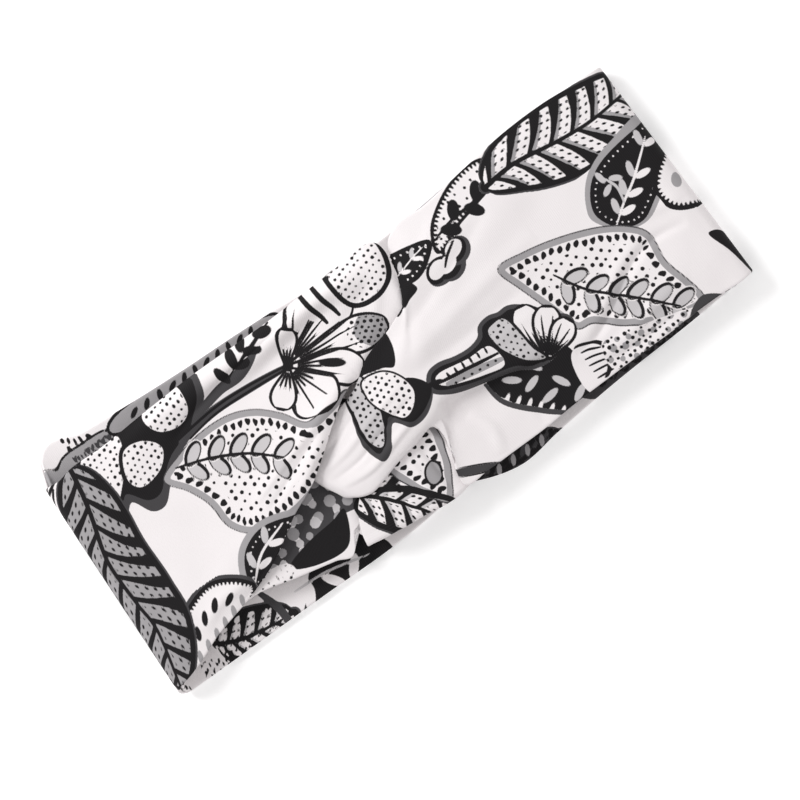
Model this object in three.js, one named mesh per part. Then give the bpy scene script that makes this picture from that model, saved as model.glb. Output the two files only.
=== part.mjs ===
// Knotted turban headband of jersey tube, lying flat.
// Two sewn tubes, left and right, hook through each other at the front knot,
// and their four ends meet in one seam at the middle of the back.
// +X runs along the band, +Y across it and +Z up. The back layer rests on Z = 0.

import * as THREE from 'three';

// ---- driving dimensions, mm ----

const HALF_LENGTH = 124;
const SEAM_HALF_WIDTH = 44;
const CLOTH = 1.2;            // a flattened tube, two layers of jersey
const LAYER_GAP = 0.4;
const HEAD_GAP = 6.2;         // free height between the back and the front
const GATHERED = 2.0;         // a tube bunched up in the knot

// At each end fold the far corner stops short of the near one by slant, and the near
// and far edges draw in as the cloth turns from the back to the front.
const LEFT_FOLD = { slant: 2, near: 4.5, far: 10 };
const RIGHT_FOLD = { slant: 3.5, near: 0, far: 0 };

const LIP_TOP = 6.2;          // the back seam's turned-up edge

// The back's near and far edges by distance along the band, narrowest at the seam.
const BACK_EDGES = [
  { x: -124, near: -49, far: 49 },
  { x: -70, near: -48, far: 45.5 },
  { x: 0, near: -SEAM_HALF_WIDTH, far: SEAM_HALF_WIDTH },
  { x: 85, near: -43.5, far: 49 },
  { x: 124, near: -40, far: 49 },
];

const THREAD = 0.4;
const THREAD_GAP = 0.3;
const SEAM_SHARE = 0.01;      // half a tube seam's width, as a share of the tube's
const OVERLOCK_WALL = 0.5;
const OVERLOCK_DEPTH = 1.1;   // how far down the turned-up edge the overlock reaches
const STITCH_DEPTH = 1.8;     // how far down the straight seam lies

// ---- layer heights, mm, at the middle of each tube's thickness ----

const STEP = CLOTH + LAYER_GAP;
const Z_BACK_OUTER = CLOTH / 2;
const Z_BACK_INNER = Z_BACK_OUTER + STEP;
const Z_FRONT_INNER = Z_BACK_INNER + CLOTH + HEAD_GAP;
const Z_FRONT_OUTER = Z_FRONT_INNER + STEP;

// layers of the knot above the left tube's lower leg
const Z_HOOK = Z_FRONT_INNER + 2.3;      // right tube's lower leg
const Z_THROUGH = Z_HOOK + 2.25;         // left tube where it passes through
const Z_FLAP = Z_HOOK + 5.6;             // left tube's edge over the right tube's tail
const Z_WAIST = Z_HOOK + 8.3;            // right tube's waist over everything

const UP = 1;
const DOWN = -1;

const SAMPLES_PER_SPAN = 4;
const PANELS_ACROSS = 7;
const CROWN = 0.35;           // how much thinner the tube is at its edges than at its middle
const CROWN_POWER = 8;        // how close to the edges that thinning stays

// ---- materials ----

const jersey = new THREE.MeshStandardMaterial({ color: 0xece7e7, roughness: 0.9, metalness: 0 });
const seamThread = new THREE.MeshStandardMaterial({ color: 0xf4f1ef, roughness: 0.7, metalness: 0 });

// ---- a tube as stations: [near edge point, far edge point, thickness] ----
// The near edge is the one on the -Y side.

function station(near, far, thickness = CLOTH) {
  return { near: new THREE.Vector3(...near), far: new THREE.Vector3(...far), thickness };
}

// A point of BACK_EDGES at x, between its two neighbours.
function backEdge(x, which) {
  const after = BACK_EDGES.findIndex((edge) => edge.x >= x);
  const i = Math.max(after, 1);
  const from = BACK_EDGES[i - 1];
  const to = BACK_EDGES[i];
  return THREE.MathUtils.mapLinear(x, from.x, to.x, from[which], to[which]);
}

// A station across the back, from edge to edge, with a share of a fold's drawing in.
function across(side, out, z, fold = LEFT_FOLD, share = 0) {
  const x = side * out;
  const near = [x, backEdge(x, 'near') + fold.near * share, z];
  const far = [x, backEdge(x, 'far') - fold.far * share, z];
  return station(near, far);
}

// The seam edge stands up at the middle, then the tube runs out along the back.
function backLeg(side, level, lipX) {
  const bend = 1.4;
  return [
    across(side, lipX, LIP_TOP),
    across(side, lipX, level + bend + 1.4),
    across(side, lipX, level + bend),
    across(side, lipX + 0.4, level + 0.4),
    across(side, lipX + bend, level),
    across(side, lipX + bend + 1.6, level),
    across(side, HALF_LENGTH / 2, level),
  ];
}

// The rounded fold at one end, from the back level to the front level.
// It turns in quarters of a half circle, with a short straight lead on each side.
function endFold(side, low, high, fold) {
  const radius = (high - low) / 2;
  const reach = HALF_LENGTH - (Z_FRONT_OUTER - Z_BACK_OUTER) / 2 - CLOTH / 2;
  const leadLength = 1.5;
  const stations = [];
  for (let i = -1; i <= 5; i += 1) {
    const turn = Math.PI * THREE.MathUtils.clamp(i, 0, 4) / 4;
    const lead = i < 0 || i > 4 ? leadLength : 0;
    const out = reach - lead + radius * Math.sin(turn);
    const z = (low + high) / 2 - radius * Math.cos(turn);
    const turned = across(side, out, z, fold, THREE.MathUtils.smoothstep(i, 0, 4));
    turned.far.x -= side * fold.slant;
    stations.push(turned);
  }
  return stations;
}

// ---- left tube ----

const leftUpperLeg = [
  station([-107, -41, Z_FRONT_OUTER], [-105, 40, Z_FRONT_OUTER]),
  station([-92, -38.5, Z_FRONT_OUTER + 0.2], [-90, 39, Z_FRONT_OUTER]),
  station([-76, -34, Z_FRONT_OUTER + 1.6], [-74, 40, Z_FRONT_OUTER]),
  station([-59, -24.5, Z_FLAP - 1.8], [-56, 40.5, Z_FRONT_OUTER + 0.6], 1.4),
  station([-44, -15, Z_FLAP], [-36, 41.5, Z_FRONT_OUTER + 1.6], 1.7),
  station([-27, -5, Z_FLAP + 0.1], [-14, 42, Z_FRONT_OUTER + 3], GATHERED),
  station([-13, 2.5, Z_FLAP - 0.4], [6, 38, Z_FRONT_OUTER + 4.3], GATHERED),
  station([-7, -1, Z_FLAP - 1.1], [17, 22, Z_FLAP - 1], GATHERED),
  station([-8.5, -11, Z_THROUGH + 1], [21, 4, Z_FLAP - 1.2], GATHERED),
  station([-10, -23, Z_THROUGH], [22, -14, Z_THROUGH + 1.2], 1.8),
  station([-12, -35, Z_THROUGH - 0.2], [21, -31, Z_THROUGH], 1.6),
];

// The turn round the right tube's hook: a half circle about an axis along X.
const leftHook = [0, 1, 2, 3, 4].map((i) => {
  const turn = Math.PI * i / 4;
  const radius = (Z_THROUGH - 0.2 - Z_FRONT_INNER) / 2;
  const z = Z_FRONT_INNER + radius + radius * Math.cos(turn);
  const out = radius * Math.sin(turn);
  return station([-12.5, -40 - out, z], [20, -38.5 - out, z], 1.4);
});

const leftLowerLeg = [
  station([-14, -35, Z_FRONT_INNER], [19, -28, Z_FRONT_INNER]),
  station([-20, -31, Z_FRONT_INNER], [17, -6, Z_FRONT_INNER]),
  station([-32, -32, Z_FRONT_INNER], [8, 17, Z_FRONT_INNER]),
  station([-48, -36, Z_FRONT_INNER], [-14, 34, Z_FRONT_INNER]),
  station([-68, -38, Z_FRONT_INNER], [-48, 39, Z_FRONT_INNER]),
  station([-92, -39, Z_FRONT_INNER], [-86, 39, Z_FRONT_INNER]),
  station([-107, -41, Z_FRONT_INNER], [-105, 40, Z_FRONT_INNER]),
];

// ---- right tube ----

const rightUpperLeg = [
  station([107, -40, Z_FRONT_OUTER], [105, 48.5, Z_FRONT_OUTER]),
  station([90, -40.5, Z_FRONT_OUTER], [90, 48.5, Z_FRONT_OUTER]),
  station([70, -40, Z_FRONT_OUTER + 0.5], [72, 47, Z_FRONT_OUTER + 0.4]),
  station([47, -38, Z_FRONT_OUTER + 2], [52, 44, Z_FRONT_OUTER + 1.8], 1.5),
  station([28, -24, Z_WAIST - 3.6], [34, 38, Z_WAIST - 3.2], GATHERED),
  station([12, -10.5, Z_WAIST - 0.9], [20, 24, Z_WAIST], GATHERED),
  station([3, -16.5, Z_WAIST - 1.8], [10, 8, Z_WAIST], GATHERED),
  station([-6, -20.5, Z_WAIST - 3.2], [-3, -2.5, Z_WAIST - 1.6], GATHERED),
  station([-16, -23, Z_THROUGH + 1.4], [-14.5, -6.5, Z_THROUGH + 2.4], 1.8),
  station([-27, -25.5, Z_THROUGH + 0.5], [-26, -11, Z_THROUGH + 0.7], 1.6),
];

// The tail's end turns under and comes back below the left tube.
const rightHook = [0, 1, 2, 3, 4].map((i) => {
  const turn = Math.PI * i / 4;
  const radius = (Z_THROUGH + 0.1 - Z_HOOK) / 2;
  const z = Z_HOOK + radius + radius * Math.cos(turn);
  const out = radius * Math.sin(turn);
  return station([-34 - out, -26.5, z], [-35 - out, -14, z], 1.6);
});

const rightLowerLeg = [
  station([-27, -26.5, Z_HOOK], [-27, -10, Z_HOOK], 1.6),
  station([-14, -26, Z_HOOK], [-14, -2, Z_HOOK], 1.6),
  station([4, -25, Z_HOOK], [2, 7, Z_HOOK], 1.6),
  station([24, -27, Z_HOOK], [20, 19, Z_HOOK], 1.6),
  station([42, -34, Z_HOOK - 1], [38, 32, Z_HOOK - 1], 1.4),
  station([62, -39, Z_FRONT_INNER + 0.2], [60, 42, Z_FRONT_INNER + 0.2]),
  station([84, -40, Z_FRONT_INNER], [84, 46, Z_FRONT_INNER]),
  station([107, -40, Z_FRONT_INNER], [105, 47.5, Z_FRONT_INNER]),
];

// ---- stations to a closed solid ----

// Edge curves sampled together: each sample has a middle, a width and a lift direction.
function sampleTube(stations) {
  const near = new THREE.CatmullRomCurve3(stations.map((s) => s.near), false, 'centripetal');
  const far = new THREE.CatmullRomCurve3(stations.map((s) => s.far), false, 'centripetal');
  const steps = (stations.length - 1) * SAMPLES_PER_SPAN;
  const samples = [];
  for (let i = 0; i <= steps; i += 1) {
    const t = i / steps;
    const span = Math.min(Math.floor(i / SAMPLES_PER_SPAN), stations.length - 2);
    const local = i / SAMPLES_PER_SPAN - span;
    const thickness = THREE.MathUtils.lerp(
      stations[span].thickness, stations[span + 1].thickness, local);
    const a = near.getPoint(t);
    const b = far.getPoint(t);
    a.z = Math.max(a.z, Z_BACK_OUTER);
    b.z = Math.max(b.z, Z_BACK_OUTER);
    samples.push({ a, b, thickness });
  }
  samples.forEach((sample, i) => {
    const before = samples[Math.max(i - 1, 0)];
    const after = samples[Math.min(i + 1, samples.length - 1)];
    const ahead = after.a.clone().add(after.b).sub(before.a).sub(before.b).normalize();
    const wide = sample.b.clone().sub(sample.a).normalize();
    sample.lift = ahead.cross(wide).normalize();
  });
  return samples;
}

// A ribbon solid between two shares of the width, at an offset along the lift.
function ribbon(samples, fromShare, toShare, offset, thicknessOf, crown) {
  const positions = [];
  const panels = crown > 0 ? PANELS_ACROSS : 1;
  const ring = 2 * (panels + 1);
  samples.forEach((sample) => {
    [1, -1].forEach((face) => {
      for (let j = 0; j <= panels; j += 1) {
        const share = face > 0 ? j / panels : 1 - j / panels;
        const middle = sample.a.clone().lerp(sample.b, fromShare + (toShare - fromShare) * share);
        const full = thicknessOf(sample) / 2 * (1 - crown * (2 * share - 1) ** CROWN_POWER);
        middle.addScaledVector(sample.lift, offset(sample) + face * full);
        positions.push(middle.x, middle.y, middle.z);
      }
    });
  });
  const index = [];
  const rings = samples.length;
  for (let i = 0; i + 1 < rings; i += 1) {
    for (let j = 0; j < ring; j += 1) {
      const p = i * ring + j;
      const q = i * ring + (j + 1) % ring;
      index.push(p, p + ring, q, q, p + ring, q + ring);
    }
  }
  const last = (rings - 1) * ring;
  for (let j = 0; j < panels; j += 1) {
    const k = ring - 1 - j;
    index.push(j, j + 1, k, j + 1, k - 1, k);
    index.push(last + j, last + k, last + j + 1, last + j + 1, last + k, last + k - 1);
  }
  const geometry = new THREE.BufferGeometry();
  geometry.setAttribute('position', new THREE.Float32BufferAttribute(positions, 3));
  geometry.setIndex(index);
  return signedVolume(geometry) < 0 ? flipped(geometry) : geometry;
}

function signedVolume(geometry) {
  const position = geometry.getAttribute('position');
  const index = geometry.getIndex().array;
  const corner = [0, 1, 2].map(() => new THREE.Vector3());
  let volume = 0;
  for (let i = 0; i < index.length; i += 3) {
    corner.forEach((v, k) => v.fromBufferAttribute(position, index[i + k]));
    volume += corner[0].dot(corner[1].clone().cross(corner[2])) / 6;
  }
  return volume;
}

function flipped(geometry) {
  geometry.setIndex([...geometry.getIndex().array].reverse());
  return geometry;
}

function addMesh(group, name, geometry, material) {
  geometry.computeVertexNormals();
  const mesh = new THREE.Mesh(geometry, material);
  mesh.name = name;
  group.add(mesh);
}

// ---- assembly ----

const headband = new THREE.Group();

const LIP_OUTER = LAYER_GAP / 2 + CLOTH / 2;
const LIP_INNER = LIP_OUTER + STEP;

const leftStations = [
  ...backLeg(DOWN, Z_BACK_OUTER, LIP_OUTER),
  ...endFold(DOWN, Z_BACK_OUTER, Z_FRONT_OUTER, LEFT_FOLD),
  ...leftUpperLeg,
  ...leftHook,
  ...leftLowerLeg,
  ...endFold(DOWN, Z_BACK_INNER, Z_FRONT_INNER, LEFT_FOLD).reverse(),
  ...backLeg(DOWN, Z_BACK_INNER, LIP_INNER).reverse(),
];

const rightStations = [
  ...backLeg(UP, Z_BACK_OUTER, LIP_OUTER),
  ...endFold(UP, Z_BACK_OUTER, Z_FRONT_OUTER, RIGHT_FOLD),
  ...rightUpperLeg,
  ...rightHook,
  ...rightLowerLeg,
  ...endFold(UP, Z_BACK_INNER, Z_FRONT_INNER, RIGHT_FOLD).reverse(),
  ...backLeg(UP, Z_BACK_INNER, LIP_INNER).reverse(),
];

const leftTube = sampleTube(leftStations);
const rightTube = sampleTube(rightStations);
const tubeThickness = (sample) => sample.thickness;
const onMiddle = () => 0;

addMesh(headband, 'left_band', ribbon(leftTube, 0, 1, onMiddle, tubeThickness, CROWN), jersey);
addMesh(headband, 'right_band', ribbon(rightTube, 0, 1, onMiddle, tubeThickness, CROWN), jersey);

// Lengthwise seam of each tube, on the face turned to the head, from where the tube
// starts to gather round to where it turns up at the back.
function tubeSeam(samples, face) {
  const spansToEnd = 16;
  const spansOfLip = 3;
  const last = samples.length - 1;
  const stretch = samples.slice(
    last - spansToEnd * SAMPLES_PER_SPAN, last - spansOfLip * SAMPLES_PER_SPAN);
  const offset = (sample) => face * (sample.thickness / 2 + THREAD_GAP + THREAD / 2);
  return ribbon(stretch, 0.5 - SEAM_SHARE, 0.5 + SEAM_SHARE, offset, () => THREAD, 0);
}

addMesh(headband, 'left_tube_seam', tubeSeam(leftTube, UP), seamThread);
addMesh(headband, 'right_tube_seam', tubeSeam(rightTube, DOWN), seamThread);

// Overlock over the four turned-up edges: a channel, open below.
const lipSide = LIP_INNER + CLOTH / 2 + THREAD_GAP;
const seamBottom = LIP_TOP - OVERLOCK_DEPTH;
const channelTop = LIP_TOP + THREAD_GAP + OVERLOCK_WALL;
const channel = new THREE.Shape([
  new THREE.Vector2(-lipSide - OVERLOCK_WALL, seamBottom),
  new THREE.Vector2(-lipSide, seamBottom),
  new THREE.Vector2(-lipSide, LIP_TOP + THREAD_GAP),
  new THREE.Vector2(lipSide, LIP_TOP + THREAD_GAP),
  new THREE.Vector2(lipSide, seamBottom),
  new THREE.Vector2(lipSide + OVERLOCK_WALL, seamBottom),
  new THREE.Vector2(lipSide + OVERLOCK_WALL, channelTop),
  new THREE.Vector2(-lipSide - OVERLOCK_WALL, channelTop),
]);

function acrossBand(shape) {
  const length = 2 * SEAM_HALF_WIDTH;
  const geometry = new THREE.ExtrudeGeometry(shape, { depth: length, bevelEnabled: false });
  geometry.rotateX(Math.PI / 2);
  geometry.translate(0, length / 2, 0);
  return geometry;
}

addMesh(headband, 'back_seam_overlock', acrossBand(channel), seamThread);

// Needle and bobbin threads of the straight seam, one on each side of the edges.
function stitchLine(side) {
  const circle = new THREE.Shape();
  circle.absarc(side * (lipSide + THREAD / 2), LIP_TOP - STITCH_DEPTH, THREAD / 2, 0, 2 * Math.PI);
  return acrossBand(circle);
}

addMesh(headband, 'back_seam_needle_thread', stitchLine(DOWN), seamThread);
addMesh(headband, 'back_seam_bobbin_thread', stitchLine(UP), seamThread);

export default headband;
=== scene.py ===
# %% [markdown]
# # A knotted headband of printed jersey
#
# The real object is two tubes of thin printed jersey. Each is doubled over, the two
# bends hook through each other to make the knot, and the four ends meet in one seam
# at the back. It lies flat, so two layers of each tube lie below and two above.
# This lesson builds the tubes as curved sheets with numpy, prints them, and sews
# them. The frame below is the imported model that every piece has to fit.

import bmesh
import bpy
import numpy as np
from mathutils import Matrix, Vector


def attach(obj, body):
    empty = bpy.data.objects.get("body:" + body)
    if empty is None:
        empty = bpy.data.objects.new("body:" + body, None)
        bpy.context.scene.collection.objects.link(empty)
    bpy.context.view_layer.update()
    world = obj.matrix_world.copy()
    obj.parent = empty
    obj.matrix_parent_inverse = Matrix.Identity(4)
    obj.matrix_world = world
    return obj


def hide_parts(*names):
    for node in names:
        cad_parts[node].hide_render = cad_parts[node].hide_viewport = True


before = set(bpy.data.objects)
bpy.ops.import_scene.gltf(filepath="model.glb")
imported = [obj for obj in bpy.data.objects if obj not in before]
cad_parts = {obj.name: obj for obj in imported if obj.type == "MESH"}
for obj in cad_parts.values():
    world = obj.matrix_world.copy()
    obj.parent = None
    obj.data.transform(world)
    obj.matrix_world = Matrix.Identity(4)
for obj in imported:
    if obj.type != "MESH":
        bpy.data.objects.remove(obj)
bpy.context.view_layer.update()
MM = 0.001

# %% [markdown]
# ## Camera, floor and light
#
# The headband is seen from straight above, turned about a third of a right angle, on
# a plain white table under soft light from all sides. A large lamp above and a
# smaller one to the side give the folds their soft shade, and the bright sky of the
# world fills it. A sun would be simpler, but its shadows are too hard for cloth.

# %% Camera
TURN = np.radians(34.7)
HEIGHT = 0.95
FRONT_LEVEL = 0.011      # height of the headband's front layer
SPAN = 0.277             # how much of that layer the picture is wide
SENSOR = 36

camera = bpy.data.objects.new("camera", bpy.data.cameras.new("camera"))
bpy.context.scene.collection.objects.link(camera)
right = Vector((np.cos(TURN), -np.sin(TURN), 0))
up = Vector((np.sin(TURN), np.cos(TURN), 0))
facing = Matrix((right, up, Vector((0, 0, 1)))).transposed().to_4x4()
camera.matrix_world = Matrix.Translation(Vector((0, 0, HEIGHT))) @ facing
camera.data.sensor_width = SENSOR
camera.data.lens = SENSOR * (HEIGHT - FRONT_LEVEL) / SPAN
camera.data.shift_x = 0.006
camera.data.shift_y = -0.0255
bpy.context.scene.camera = camera
bpy.context.scene.view_settings.view_transform = "Standard"
print("lens, mm:", round(camera.data.lens, 1))

# %% Floor and lamps
bpy.ops.mesh.primitive_plane_add(size=4)
floor = bpy.context.object
floor.name = "table"

world = bpy.data.worlds.new("studio")
bpy.context.scene.world = world
world.use_nodes = True
sky = world.node_tree.nodes["Background"]
sky.inputs["Color"].default_value = (1.0, 0.985, 0.985, 1)
sky.inputs["Strength"].default_value = 0.66


def lamp(name, place, size, power):
    """A square area lamp at place, turned to the middle of the headband."""
    data = bpy.data.lights.new(name, "AREA")
    data.size = size
    data.energy = power
    light = bpy.data.objects.new(name, data)
    light.location = place
    light.rotation_euler = (-Vector(place)).to_track_quat("-Z", "Y").to_euler()
    bpy.context.scene.collection.objects.link(light)


lamp("key", (-0.55, 0.85, 0.8), 0.45, 10)
lamp("fill", (0.8, -0.3, 1.1), 0.8, 1.5)

# %% [markdown]
# ## Cloth as a net of points
#
# A flattened tube is a long strip with two faces and rounded edges. Its middle is
# described by a net: a row of points across the strip at each place along it. A
# smooth spline runs through the net both ways. Cloth simulation could find the
# folds by itself, but a knot has to be guided layer by layer, so the net is given
# row by row and small folds are added by formula.


# %% Splines through a net
def spline_weights(knots, places):
    """Weights that turn values at knots into values at places.

    Each span is a cubic that meets its neighbours with the slope of the parabola
    through three knots, so unevenly spaced knots don't overshoot.
    """
    knots = np.asarray(knots, float)
    count = len(knots)
    gaps = np.diff(knots)
    slopes = np.zeros((count, count))
    eye = np.eye(count)
    steps = (eye[1:] - eye[:-1]) / gaps[:, None]
    inner = (gaps[1:, None] * steps[:-1] + gaps[:-1, None] * steps[1:])
    slopes[1:-1] = inner / (gaps[1:] + gaps[:-1])[:, None]
    slopes[0] = steps[0]
    slopes[-1] = steps[-1]
    span = np.clip(np.searchsorted(knots, places, side="right") - 1, 0, count - 2)
    gap = gaps[span]
    t = (places - knots[span]) / gap
    h00 = 2 * t**3 - 3 * t**2 + 1
    h10 = t**3 - 2 * t**2 + t
    h01 = -2 * t**3 + 3 * t**2
    h11 = t**3 - t**2
    return (
        h00[:, None] * eye[span]
        + (h10 * gap)[:, None] * slopes[span]
        + h01[:, None] * eye[span + 1]
        + (h11 * gap)[:, None] * slopes[span + 1]
    )


def smooth_step(value, low, high):
    """0 below low, 1 above high, and an S between them."""
    t = np.clip((value - low) / (high - low), 0, 1)
    return t * t * (3 - 2 * t)


# %% Sizes of the cloth, in millimetres
FLAT_WIDTH = 97.0
# These two mean cut widths are not known: they are fitted to this model, whose left
# tube lacks the deep gathers that the knot pulls together. On a cut of the full flat
# width the two sheets hold only 0.63 and 0.35 of their cloth, and finish would stop.
CUT_WIDTHS = {"left_front": 74.0, "left_hook_front": 46.0}
CLOTH = 1.2
HALF_LENGTH = 124.0
LEFT_SLANT = 2.0
RIGHT_SLANT = 3.5
NEAR_DRAW = {-1: 4.5, 1: 0.0}      # how far an edge draws in from the back to the front
FAR_DRAW = {-1: 11.5, 1: -0.4}
Z_BACK_OUTER = 0.62
Z_BACK_INNER = 2.2
Z_FRONT_INNER = 9.6
Z_FRONT_OUTER = 11.2
Z_HOOK = 11.45
LIP_TOP = 6.2            # height of the back seam's turned-up edge
FOLD_PRINT = 152.8       # how far along the print the outer leg is where it leaves the back
RIPPLE = 0.13            # height of the slow waves in the cloth
COLUMNS = 8
SHARES = np.linspace(0, 1, COLUMNS)


def row(*points):
    """One row of the net from its points across, near edge first.

    Two points make a straight row. A row of points is x, y, z, in millimetres, and
    its print lies where it is seen from above.
    """
    points = np.array(points, float)
    if len(points) == 2:
        points = points[0] + (points[1] - points[0]) * SHARES[:, None]
    return np.hstack([points, points[:, :2]])


BACK_EDGES = np.array([
    (-124, -49, 49.4), (-100, -48.6, 47.2), (-70, -48, 45.2), (-27, -47.6, 44.4),
    (-8, -45, 43.2), (2, -44.8, 43.4), (9, -47.6, 43), (22, -50, 43), (32, -49, 43.8),
    (40, -46, 44.4), (85, -43.4, 49), (124, -39.8, 48.6),
])


def level_row(x, z, print_x=None, draw_near=0.0, draw_far=0.0, far_x=None):
    """A level row across the back at x, between the back's two soft edges.

    The edges may draw in, and the row's print lies at print_x.
    """
    near = np.interp(x, BACK_EDGES[:, 0], BACK_EDGES[:, 1]) + draw_near
    far = np.interp(x, BACK_EDGES[:, 0], BACK_EDGES[:, 2]) - draw_far
    far_x = x if far_x is None else far_x
    made = row((x, near, z), (far_x, far, z))
    if print_x is not None:
        made[:, 3] += print_x - x
    return made


def end_fold(side, low, high, slant, shift=0.0):
    """Rows round the half circle at one end, from the back layer to the front.

    The print runs on round the fold: its x is the length of the arc still to go.
    """
    radius = (high - low) / 2
    reach = HALF_LENGTH - (Z_FRONT_OUTER - Z_BACK_OUTER) / 2 - CLOTH / 2
    rows = []
    for turn in np.radians([0, 30, 60, 90, 120, 150, 180]):
        out = reach + radius * np.sin(turn)
        draw_near = NEAR_DRAW[side] * smooth_step(turn, 0.4, 3.1)
        draw_far = FAR_DRAW[side] * smooth_step(turn, 0.1, 1.6)
        z = (low + high) / 2 - radius * np.cos(turn)
        print_x = side * (reach + radius * (np.pi - turn)) + shift
        rows.append(level_row(side * out, z, print_x, draw_near, draw_far, side * (out - slant)))
    return rows


# %% [markdown]
# ## The left tube's front
#
# This is the tube's upper leg. It lies flat at the left end, rolls softly along its
# far edge, lifts into a flap over the right tube's tail, and turns the corner under
# the right tube's waist to come out near the bottom edge of the band.

# %% Left front net
left_front_rows = [
    level_row(-100, Z_BACK_OUTER, -FOLD_PRINT),
    *end_fold(-1, Z_BACK_OUTER, Z_FRONT_OUTER, LEFT_SLANT),
    row((-112, -42.5, 11.3), (-112, -31, 12), (-112, -20, 11.6), (-112, -8, 11.3),
        (-112, 3, 11.3), (-112, 14, 11.3), (-111.5, 26, 11.5), (-111, 38.5, 11.2)),
    row((-101, -38, 11.3), (-101, -29, 12.4), (-100.5, -18, 11.9), (-100, -7, 11.5),
        (-100, 4, 11.3), (-99.5, 15, 11.4), (-99, 27, 12), (-98.5, 38.6, 11.3)),
    row((-84, -33.4, 11.5), (-84, -24, 12.9), (-83.5, -13, 12.2), (-83, -2, 11.7),
        (-82.5, 9, 11.7), (-82, 21, 11.6), (-81.5, 33, 13.4), (-81, 39.8, 11.4)),
    row((-69.5, -27.6, 13.2), (-69, -18, 14.4), (-68.5, -8, 13.4), (-68, 2.5, 12.6),
        (-67, 13, 12.3), (-66.5, 24.5, 11.9), (-66, 35, 15), (-65.5, 40.6, 12)),
    row((-56, -19.2, 15), (-55.5, -10.5, 16.2), (-55, -1.5, 15), (-54, 7, 13.6),
        (-53, 16.5, 12.9), (-52, 27, 12.4), (-51, 35.8, 16.2), (-50, 41, 12.8)),
    row((-43, -12.8, 16.8), (-42.5, -6.4, 18.2), (-41.5, 1.5, 16.8), (-40, 9.5, 14.8),
        (-38.5, 19, 13.9), (-37, 28.5, 13.3), (-35.5, 36, 17.2), (-34, 41.2, 13.6)),
    row((-27.5, -1.2, 17.6), (-28, 2.6, 19.2), (-27, 8.5, 17.6), (-25, 15.5, 15.8),
        (-22.5, 23, 14.9), (-20.5, 31, 14.6), (-18.5, 37, 18.2), (-17, 41.8, 14.4)),
    row((-14.3, 7.6, 17.4), (-14, 9.8, 18.6), (-12, 14, 17.8), (-9, 19, 16.4),
        (-5, 24.5, 15.9), (-1.5, 31.5, 16.2), (1.5, 37.8, 18.9), (3.5, 43, 15)),
    row((-11, 5.6, 16.4), (-8.5, 7, 16.9), (-4, 9.8, 17), (1.5, 14, 16.6),
        (7, 19, 16.2), (12, 26, 17), (16.5, 35.5, 18.6), (20.5, 43.3, 15.6)),
    row((-10, -2, 15.4), (-7, -1.6, 15.9), (-2.5, -0.4, 16.2), (2.5, 2, 16.3),
        (7.5, 5.5, 16.3), (12.5, 10.5, 16.4), (17, 18, 17), (20.6, 26, 15.8)),
    row((-17, -12, 14.4), (-13, -12.5, 14.7), (-8.5, -12.5, 14.9), (-4, -12, 15),
        (1, -10.5, 15), (6.5, -8, 15), (11.5, -4, 15), (15, 0, 14.6)),
]
left_hook_rows = [
    left_front_rows[-2],
    left_front_rows[-1],
    row((-27, -21, 13.2), (-21.5, -22, 13.9), (-16.5, -22.5, 14), (-11.5, -22.5, 14.2),
        (-6, -22.3, 14.4), (-1.5, -21.8, 13.9), (2.5, -20.4, 13.2), (6, -18, 12.6)),
    row((-36, -29.5, 12.2), (-29, -30.5, 13.1), (-22.5, -31, 13.6), (-16, -31.5, 13.1),
        (-9.5, -31.5, 13.8), (-3.5, -31.3, 13.5), (2.5, -30.6, 12.4), (8.4, -29.4, 11.8)),
    row((-40, -38.2, 11.6), (-32, -39, 12.6), (-24.5, -39.6, 13.1), (-17, -40.3, 12.7),
        (-10, -41.4, 13), (-3.6, -41.6, 12.6), (2.6, -40.7, 11.8), (8.6, -39.4, 11.4)),
    row((-40.6, -41.6, 11), (-32.5, -42.6, 11.6), (-25, -43.4, 11.9), (-17.5, -44, 11.6),
        (-10.5, -45, 11.8), (-4, -45, 11.4), (2, -43.6, 11), (8, -41.6, 10.8)),
    row((-40.6, -41.2, 9.9), (-32.5, -42.2, 9.9), (-25, -43, 9.8), (-17.5, -43.6, 9.8),
        (-10.5, -44.6, 9.8), (-4, -44.6, 9.8), (2, -43.6, 9.9), (8, -42, 10)),
]
print("left front net:", len(left_front_rows), "rows of", COLUMNS)

# %% [markdown]
# ## The right tube's front
#
# The upper leg comes in flat from the right end, gathers to the waist of the knot,
# crosses over the left tube and runs down to the lower left as a pleated tail. One
# long pleat hangs over the lower part of the leg, which stays low beside the knot.

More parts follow.
